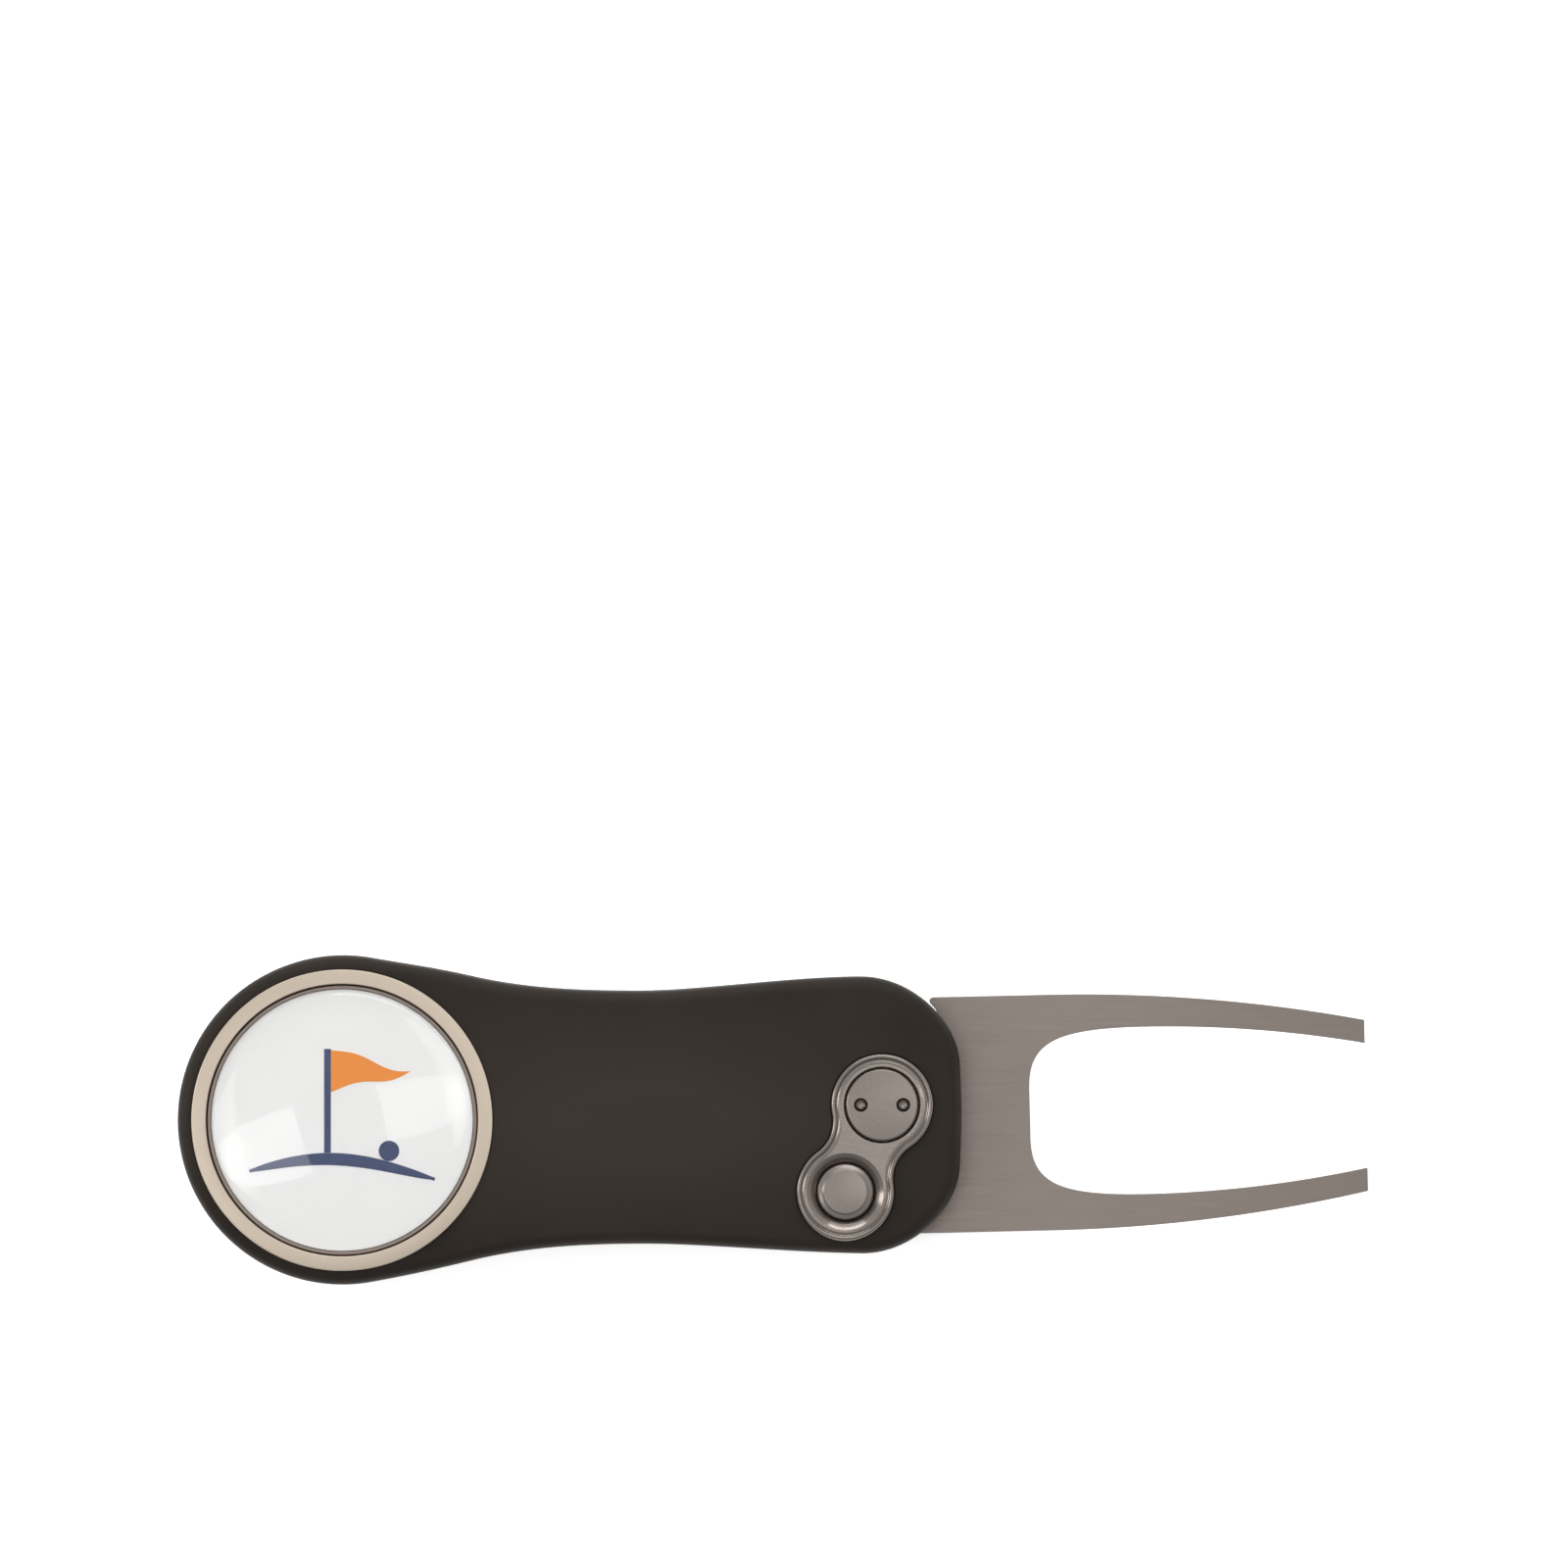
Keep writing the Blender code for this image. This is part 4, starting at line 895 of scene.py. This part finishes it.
def make_spacers():
    """The two spacers, set a little in from the shells so that a groove shows."""
    low, high = SLOT_LOW + SEAT_GAP, SLOT_HIGH - SEAT_GAP
    groove = 0.28
    edge = inset(outline(handle_knots(), 36), groove)
    collar_low, collar_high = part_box("sharpener_body")
    collar_gap = 0.45
    beside = (collar_high.y - collar_low.y) / 2 / MM + collar_gap
    spine_mask = [
        corner(7.3, -20),
        corner(7.3, -9.9),
        smooth(4.5, -9.45, 180, 1.5, 5.0),
        smooth(-14, -9.95, 180, 7.0, 7.0),
        smooth(-35.6, -8.3, 172, 6.0, 0.0),
        smooth(-36.4, -7.5, 90, 0.5, 0.0),
        corner(-36.4, -beside),
        corner(-60, -beside),
        corner(-60, -20),
    ]
    head_mask = [
        corner(-60, beside),
        *arc(-38.4, beside + 1.8, 1.8, 270, 360),
        corner(-36.6, 20),
        corner(-60, 20),
    ]
    for name, knots, screws in (
        ("spine_spacer", spine_mask, (2, 3)),
        ("head_spacer", head_mask, (1,)),
    ):
        piece = plate(name + "_skin", edge, low, high)
        mask = plate("mask", outline(knots, 24), CLEAR_BELOW, CLEAR_ABOVE)
        carve(piece, mask, operation="INTERSECT")
        bevel(piece, 0.12)
        carve(piece, *case_screw_holes(SCREW_HOLE, CLEAR_BELOW, CLEAR_ABOVE, screws))
        put(even(shade(piece)), "handle", "spacer_plastic", SPACER, name)


# ---------------------------------------------------------------- the fork


def make_fork():
    points = outline(fork_knots(), 24)
    fork = plate("fork_blade", points, FORK_LOW, FORK_HIGH, PIVOT, REST_TILT)
    carve(fork, drum("fork_bore", 2.6, CLEAR_BELOW, CLEAR_ABOVE, PIVOT, 64))
    bevel(fork, 0.14, 3, 50)
    put(even(shade(fork, 40)), "fork", "fork_steel", FORK, "fork")


# ---------------------------------------------------------------- pivot, button and plate

SCREW_SEAT = 11.7


def make_escutcheon():
    """The rim climbs from its outer edge to a bead, dips into a groove and meets the flat
    web over a second, lower rise."""
    low, _ = heights_of("escutcheon")
    web = 12.90
    rim = [
        (0.0, low),
        (0.0, 12.52),
        (0.03, 12.74),
        (0.10, 12.92),
        (0.20, 13.03),
        (0.31, 13.07),
        (0.42, 13.04),
        (0.50, 12.96),
        (0.56, 12.87),
        (0.62, 12.845),
        (0.68, 12.87),
        (0.76, 12.92),
        (0.84, 12.935),
        (0.92, 12.92),
        (1.00, web),
    ]
    rings = []
    for in_by, height in rim:
        points = outline(escutcheon_knots(-in_by), 28)
        rings.append([(p.x + PIVOT.x, p.y + PIVOT.y, height) for p in points])
    trim = stack("escutcheon_plate", rings)
    dish = softened(
        [
            (0, OVER_PLATE),
            (3.9, OVER_PLATE),
            (3.72, web + 0.06),
            (3.52, web - 0.05),
            (3.30, 12.70),
            (3.00, 12.47),
            (2.72, 12.32),
            (2.69, 12.20),
            (2.69, CLEAR_BELOW),
            (0, CLEAR_BELOW),
        ],
        0.2,
    )
    seat = softened(
        [
            (0, OVER_PLATE),
            (3.62, OVER_PLATE),
            (3.62, web + 0.05),
            (3.47, web - 0.12),
            (3.47, SCREW_SEAT - SEAT_GAP),
            (1.65, SCREW_SEAT - SEAT_GAP),
            (1.65, CLEAR_BELOW),
            (0, CLEAR_BELOW),
        ],
        0.06,
    )
    dish_cutter = lathe("dish", dish, (BUTTON.x, BUTTON.y, 0))
    seat_cutter = lathe("seat", seat, (PIVOT.x, PIVOT.y, 0))
    carve(trim, dish_cutter, seat_cutter)
    put(even(shade(trim, 40)), "handle", "trim_metal", TRIM, "escutcheon")


def make_pivot_screw():
    low, high = heights_of("pivot_screw")
    profile = softened(
        [
            (0, high),
            (3.24, high),
            (3.36, high - 0.12),
            (3.36, SCREW_SEAT),
            (1.5, SCREW_SEAT),
            (1.5, low + 0.4),
            (1.1, low),
            (0, low),
        ],
        0.08,
    )
    screw = lathe("pivot_screw_head", profile, (PIVOT.x, PIVOT.y, 0))
    hole = [(0, high + 1), (0.66, high + 1), (0.66, high + 0.01), (0.60, high - 0.06)]
    steps = 8
    for step in range(steps + 1):
        angle = math.radians(90 * step / steps)
        hole.append((0.58 * math.cos(angle), high - 0.40 - 0.40 * math.sin(angle)))
    apart = 1.97
    holes = []
    for side in (-1, 1):
        place = (PIVOT.x + side * apart, PIVOT.y, 0)
        holes.append(lathe(f"spanner_hole_{side}", hole, place, 48))
    carve(screw, *holes)
    put(even(shade(screw)), "handle", "trim_metal", SCREW, "pivot_screw")


def make_button():
    """A stepped top on a straight side, with a flange that the front shell holds down."""
    low, high = heights_of("button_cap")
    radius = 2.63
    flange = 3.2
    flange_high = low + 0.5
    profile = softened(
        [
            (0, high),
            (2.00, high),
            (2.16, high - 0.14),
            (2.50, high - 0.20),
            (radius, high - 0.36),
            (radius, flange_high),
            (flange, flange_high),
            (flange, low),
            (0, low),
        ],
        0.03,
    )
    cap = lathe("button_top", profile, (BUTTON.x, BUTTON.y, 0))
    put(even(cap), "button", "trim_metal", CAP, "button_cap")


# ---------------------------------------------------------------- the ball marker


def make_ring():
    low, high = heights_of("marker_ring")
    inner, outer = 12.64, 14.0
    profile = softened(
        [
            (outer, high - 0.13),
            (outer, low),
            (inner, low),
            (inner, high - 0.07),
            (inner + 0.07, high),
            (outer - 0.05, high - 0.07),
        ],
        0.04,
        closed=True,
    )
    ring = lathe("marker_bezel", profile, (HEAD.x, HEAD.y, 0), 240, closed=True)
    put(even(ring), "handle", "ring_metal", RING, "marker_ring")


def make_marker_base():
    """A shallow tray for the label and the resin."""
    low, high = heights_of("marker_base")
    floor = 11.75
    inner, outer = 12.18, 12.57
    profile = softened(
        [
            (0, floor),
            (inner, floor),
            (inner, high),
            (outer - 0.07, high),
            (outer, high - 0.06),
            (outer, low + 0.2),
            (12.3, low),
            (0, low),
        ],
        0.05,
    )
    base = lathe("marker_disc", profile, (HEAD.x, HEAD.y, 0), 240)
    put(base, "marker", "marker_bronze", MARKER, "marker_base")


def make_label():
    """The white film. Returns the height that the artwork lies on."""
    low, high = heights_of("marker_print")
    radius = 12.15
    profile = [(0, high), (radius, high), (radius, low), (0, low)]
    label = lathe("marker_label_disc", profile, (HEAD.x, HEAD.y, 0), 240)
    put(label, "marker", "marker_label", LABEL, "marker_print")
    return high


def flag_points():
    """A pennant that waves once along its length, from the pole outwards."""
    length = 7.4
    half = 1.95
    wave_height = 0.42
    steps = 22
    upper = []
    lower = []
    for i in range(steps + 1):
        share = i / steps
        wave = wave_height * math.sin(2 * math.pi * share) * share**0.4
        x = length * share
        upper.append(Vector((x, half * (1 - share) + wave)))
        lower.append(Vector((x, -half * (1 - share) + wave)))
    return lower[:-1] + list(reversed(upper))


def stroke_points(middle, widths):
    """A band along a line of points, with a width of its own at each."""
    left = []
    right = []
    for i, (point, width) in enumerate(zip(middle, widths)):
        before = middle[max(i - 1, 0)]
        after = middle[min(i + 1, len(middle) - 1)]
        along = (after - before).normalized()
        across = Vector((-along.y, along.x)) * width / 2
        left.append(point + across)
        right.append(point - across)
    return right + list(reversed(left))


def make_artwork(high):
    """A golf flag on a green, in ink about the marker's middle: a pole, a pennant, the
    ground line, which is a low mound, and a ball."""
    ink = 0.03
    low = high + 0.005
    ground_half = 8.6
    ground_y = -5.1
    mound = 1.5
    ground_width = 1.15
    pole_x = -1.35
    pole_width = 0.62
    ball_radius = 0.95
    ball_sides = 48
    steps = 40
    ground = []
    widths = []
    for i in range(steps + 1):
        share = i / steps
        x = -ground_half + 2 * ground_half * share
        ground.append(Vector((x, ground_y + mound * math.cos(math.pi * (share - 0.42)))))
        widths.append(ground_width * math.sin(math.pi * min(max(share, 0.02), 0.98)) ** 0.5)
    pole = [Vector((pole_x, -3.02)), Vector((pole_x, 6.6))]
    ball = []
    for i in range(ball_sides):
        angle = 2 * math.pi * i / ball_sides
        ball.append(Vector((ball_radius * math.cos(angle), ball_radius * math.sin(angle))))
    shapes = [
        ("art_ground", stroke_points(ground, widths), (0, 0), NAVY),
        ("art_pole", stroke_points(pole, [pole_width, pole_width]), (0, 0), NAVY),
        ("art_pennant", flag_points(), (-1.02, 4.55), ORANGE),
        ("art_ball", ball, (4.35, -2.85), NAVY),
    ]
    for name, points, offset, ink_finish in shapes:
        place = (HEAD.x + offset[0], HEAD.y + offset[1])
        piece = plate(name, points, low, low + ink, place)
        put(piece, "marker", "marker_label", ink_finish)


def make_dome():
    """Resin that rounds over steeply at its rim, as a poured drop does."""
    _, high = heights_of("marker_dome")
    foot = 11.96
    radius = 12.14
    edge = 12.42
    rim = 0.35
    fullness = 0.82
    profile = [(0.0, high)]
    steps = 36
    for i in range(1, steps + 1):
        share = i / steps
        across = (radius - rim) * share
        height = edge + (high - edge) * (1 - share**2.0) ** fullness
        profile.append((across, height))
    profile += [
        (radius - 0.22, edge - 0.035),
        (radius - 0.11, edge - 0.10),
        (radius - 0.03, edge - 0.20),
        (radius, edge - 0.32),
        (radius, foot),
        (0.0, foot),
    ]
    dome = lathe("marker_lens", profile, (HEAD.x, HEAD.y, 0), 240)
    put(dome, "marker", "marker_resin", RESIN, "marker_dome")


# ---------------------------------------------------------------- the sharpener


def make_sharpener():
    low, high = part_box("sharpener_body")
    start = low.x / MM
    collar = (high.z - low.z) / 2 / MM
    height = (low.z + high.z) / 2 / MM
    length = (high.x - low.x) / MM
    mouth = MOUTH_RADIUS
    cone_tip = 0.45
    cone_end = MOUTH_LENGTH + (mouth - cone_tip) / math.tan(math.radians(CONE_ANGLE))
    profile = softened(
        [
            (0, length),
            (SHARPENER_END, length),
            (collar, COLLAR_LENGTH),
            (collar, 0.0),
            (mouth + 0.22, 0.0),
            (mouth, 0.25),
            (mouth, MOUTH_LENGTH),
            (cone_tip, cone_end),
            (0, cone_end),
        ],
        0.12,
    )
    body = lathe("sharpener_cone", profile, (start, 0, height), 128, along_x=True)
    flat = blade_block("blade_flat", (-5.4, -6, 0), (9, 6, 4))
    slot = blade_block("shavings_slot", (-4.6, 0.2, -1.2), (4.6, 1.5, 4))
    thread = blade_block("blade_thread", (-0.9, -2.3, -1.2), (0.3, -1.1, 4))
    carve(body, flat, slot, thread)
    put(shade(body), "handle", "sharpener_metal", ALLOY, "sharpener_body")


# ---------------------------------------------------------------- carried-over nodes


def finish_nodes():
    """The small hardware keeps its modelled shape and gets its finish."""
    finishes = {
        "pivot_barrel": STEEL,
        "opening_spring": STEEL,
        "button_spring": STEEL,
        "anchor_pin": STEEL,
        "lock_pin": STEEL,
        "case_screw_1": STEEL,
        "case_screw_2": STEEL,
        "case_screw_3": STEEL,
        "sharpener_screw": STEEL,
        "sharpener_blade": BLADE,
        "front_washer": BRONZE,
        "rear_washer": BRONZE,
        "marker_magnet": NICKEL,
    }
    for node, material in finishes.items():
        obj = frame["nodes"][node]
        obj.data.materials.clear()
        obj.data.materials.append(material)


# ---------------------------------------------------------------- the set


def make_floor():
    """White paper that gives off a little light, so that it shows hardly any shadow."""
    glow = 0.48
    reach = 1500
    drop = 0.02
    made = Finish("floor_paper", Base_Color=(0.93, 0.93, 0.93), Roughness=0.9)
    grain = made.noise(0.6, 3.0)
    tone = made.mix(made.between(grain, 0, 1), (0.925, 0.925, 0.925), (0.935, 0.935, 0.935))
    made.feed("Base Color", tone)
    made.shader.inputs["Emission Color"].default_value = (1, 1, 1, 1)
    made.shader.inputs["Emission Strength"].default_value = glow
    sides = [(-reach, -reach), (reach, -reach), (reach, reach), (-reach, reach)]
    floor = new_object("floor", [(x, y, -drop) for x, y in sides], [(0, 1, 2, 3)])
    floor.data.materials.append(made.material)


def make_light(name, place, width, height, radiance):
    """A soft box aimed at the tool, placed in millimetres."""
    area = width * height * MM**2
    power_per_radiance = 4
    data = bpy.data.lights.new(name, "AREA")
    data.shape = "RECTANGLE"
    data.size = width * MM
    data.size_y = height * MM
    data.energy = radiance * power_per_radiance * area
    lamp = bpy.data.objects.new(name, data)
    lamp.location = Vector(place) * MM
    way = Vector((0, 0, SLOT_HIGH)) - Vector(place)
    lamp.rotation_mode = "QUATERNION"
    lamp.rotation_quaternion = way.to_track_quat("-Z", "Y")
    lamp.visible_camera = False
    bpy.context.scene.collection.objects.link(lamp)


def make_sky():
    """Soft white surroundings, brighter behind the tool's upper side than below it."""
    dimmest = 0.62
    brightest = 1.46
    world = bpy.data.worlds.new("studio")
    world.use_nodes = True
    nodes = world.node_tree.nodes
    links = world.node_tree.links
    place = nodes.new("ShaderNodeTexCoord")
    apart = nodes.new("ShaderNodeSeparateXYZ")
    spread = nodes.new("ShaderNodeMapRange")
    spread.inputs["From Min"].default_value = -1
    spread.inputs["To Min"].default_value = dimmest
    spread.inputs["To Max"].default_value = brightest
    nodes["Background"].inputs["Color"].default_value = (1, 1, 1, 1)
    links.new(place.outputs["Generated"], apart.inputs[0])
    links.new(apart.outputs["Y"], spread.inputs["Value"])
    links.new(spread.outputs["Result"], nodes["Background"].inputs["Strength"])
    bpy.context.scene.world = world


def make_lights():
    make_sky()
    make_light("left_panel", (-240, -80, 800), 100, 300, 2.6)
    make_light("right_panel", (130, 30, 800), 80, 260, 2.1)
    make_light("upper_panel", (80, 360, 760), 300, 140, 3.4)
    make_light("upper_strip", (-20, 520, 260), 600, 100, 4.0)
    make_light("left_strip", (-420, 60, 250), 140, 300, 3.6)


def make_camera():
    """Square on to the front face and far away, with the tool low in a square picture."""
    view_width = 145.7
    view_x, view_y = 1.0, 31.24
    lens = 900.0
    sensor = 36.0
    data = bpy.data.cameras.new("camera")
    data.lens = lens
    data.sensor_width = sensor
    data.clip_start = 0.01
    data.clip_end = 10
    camera = bpy.data.objects.new("camera", data)
    distance = view_width * lens / sensor
    camera.location = Vector((view_x, view_y, HANDLE_HIGH.z + distance)) * MM
    bpy.context.scene.collection.objects.link(camera)
    bpy.context.scene.camera = camera


# ---------------------------------------------------------------- everything

make_camera()
make_front_shell()
make_rear_shell()
make_spacers()
make_fork()
make_escutcheon()
make_pivot_screw()
make_button()
make_ring()
make_marker_base()
make_artwork(make_label())
make_dome()
make_sharpener()
finish_nodes()
make_floor()
make_lights()
bpy.context.scene.view_settings.view_transform = "Standard"
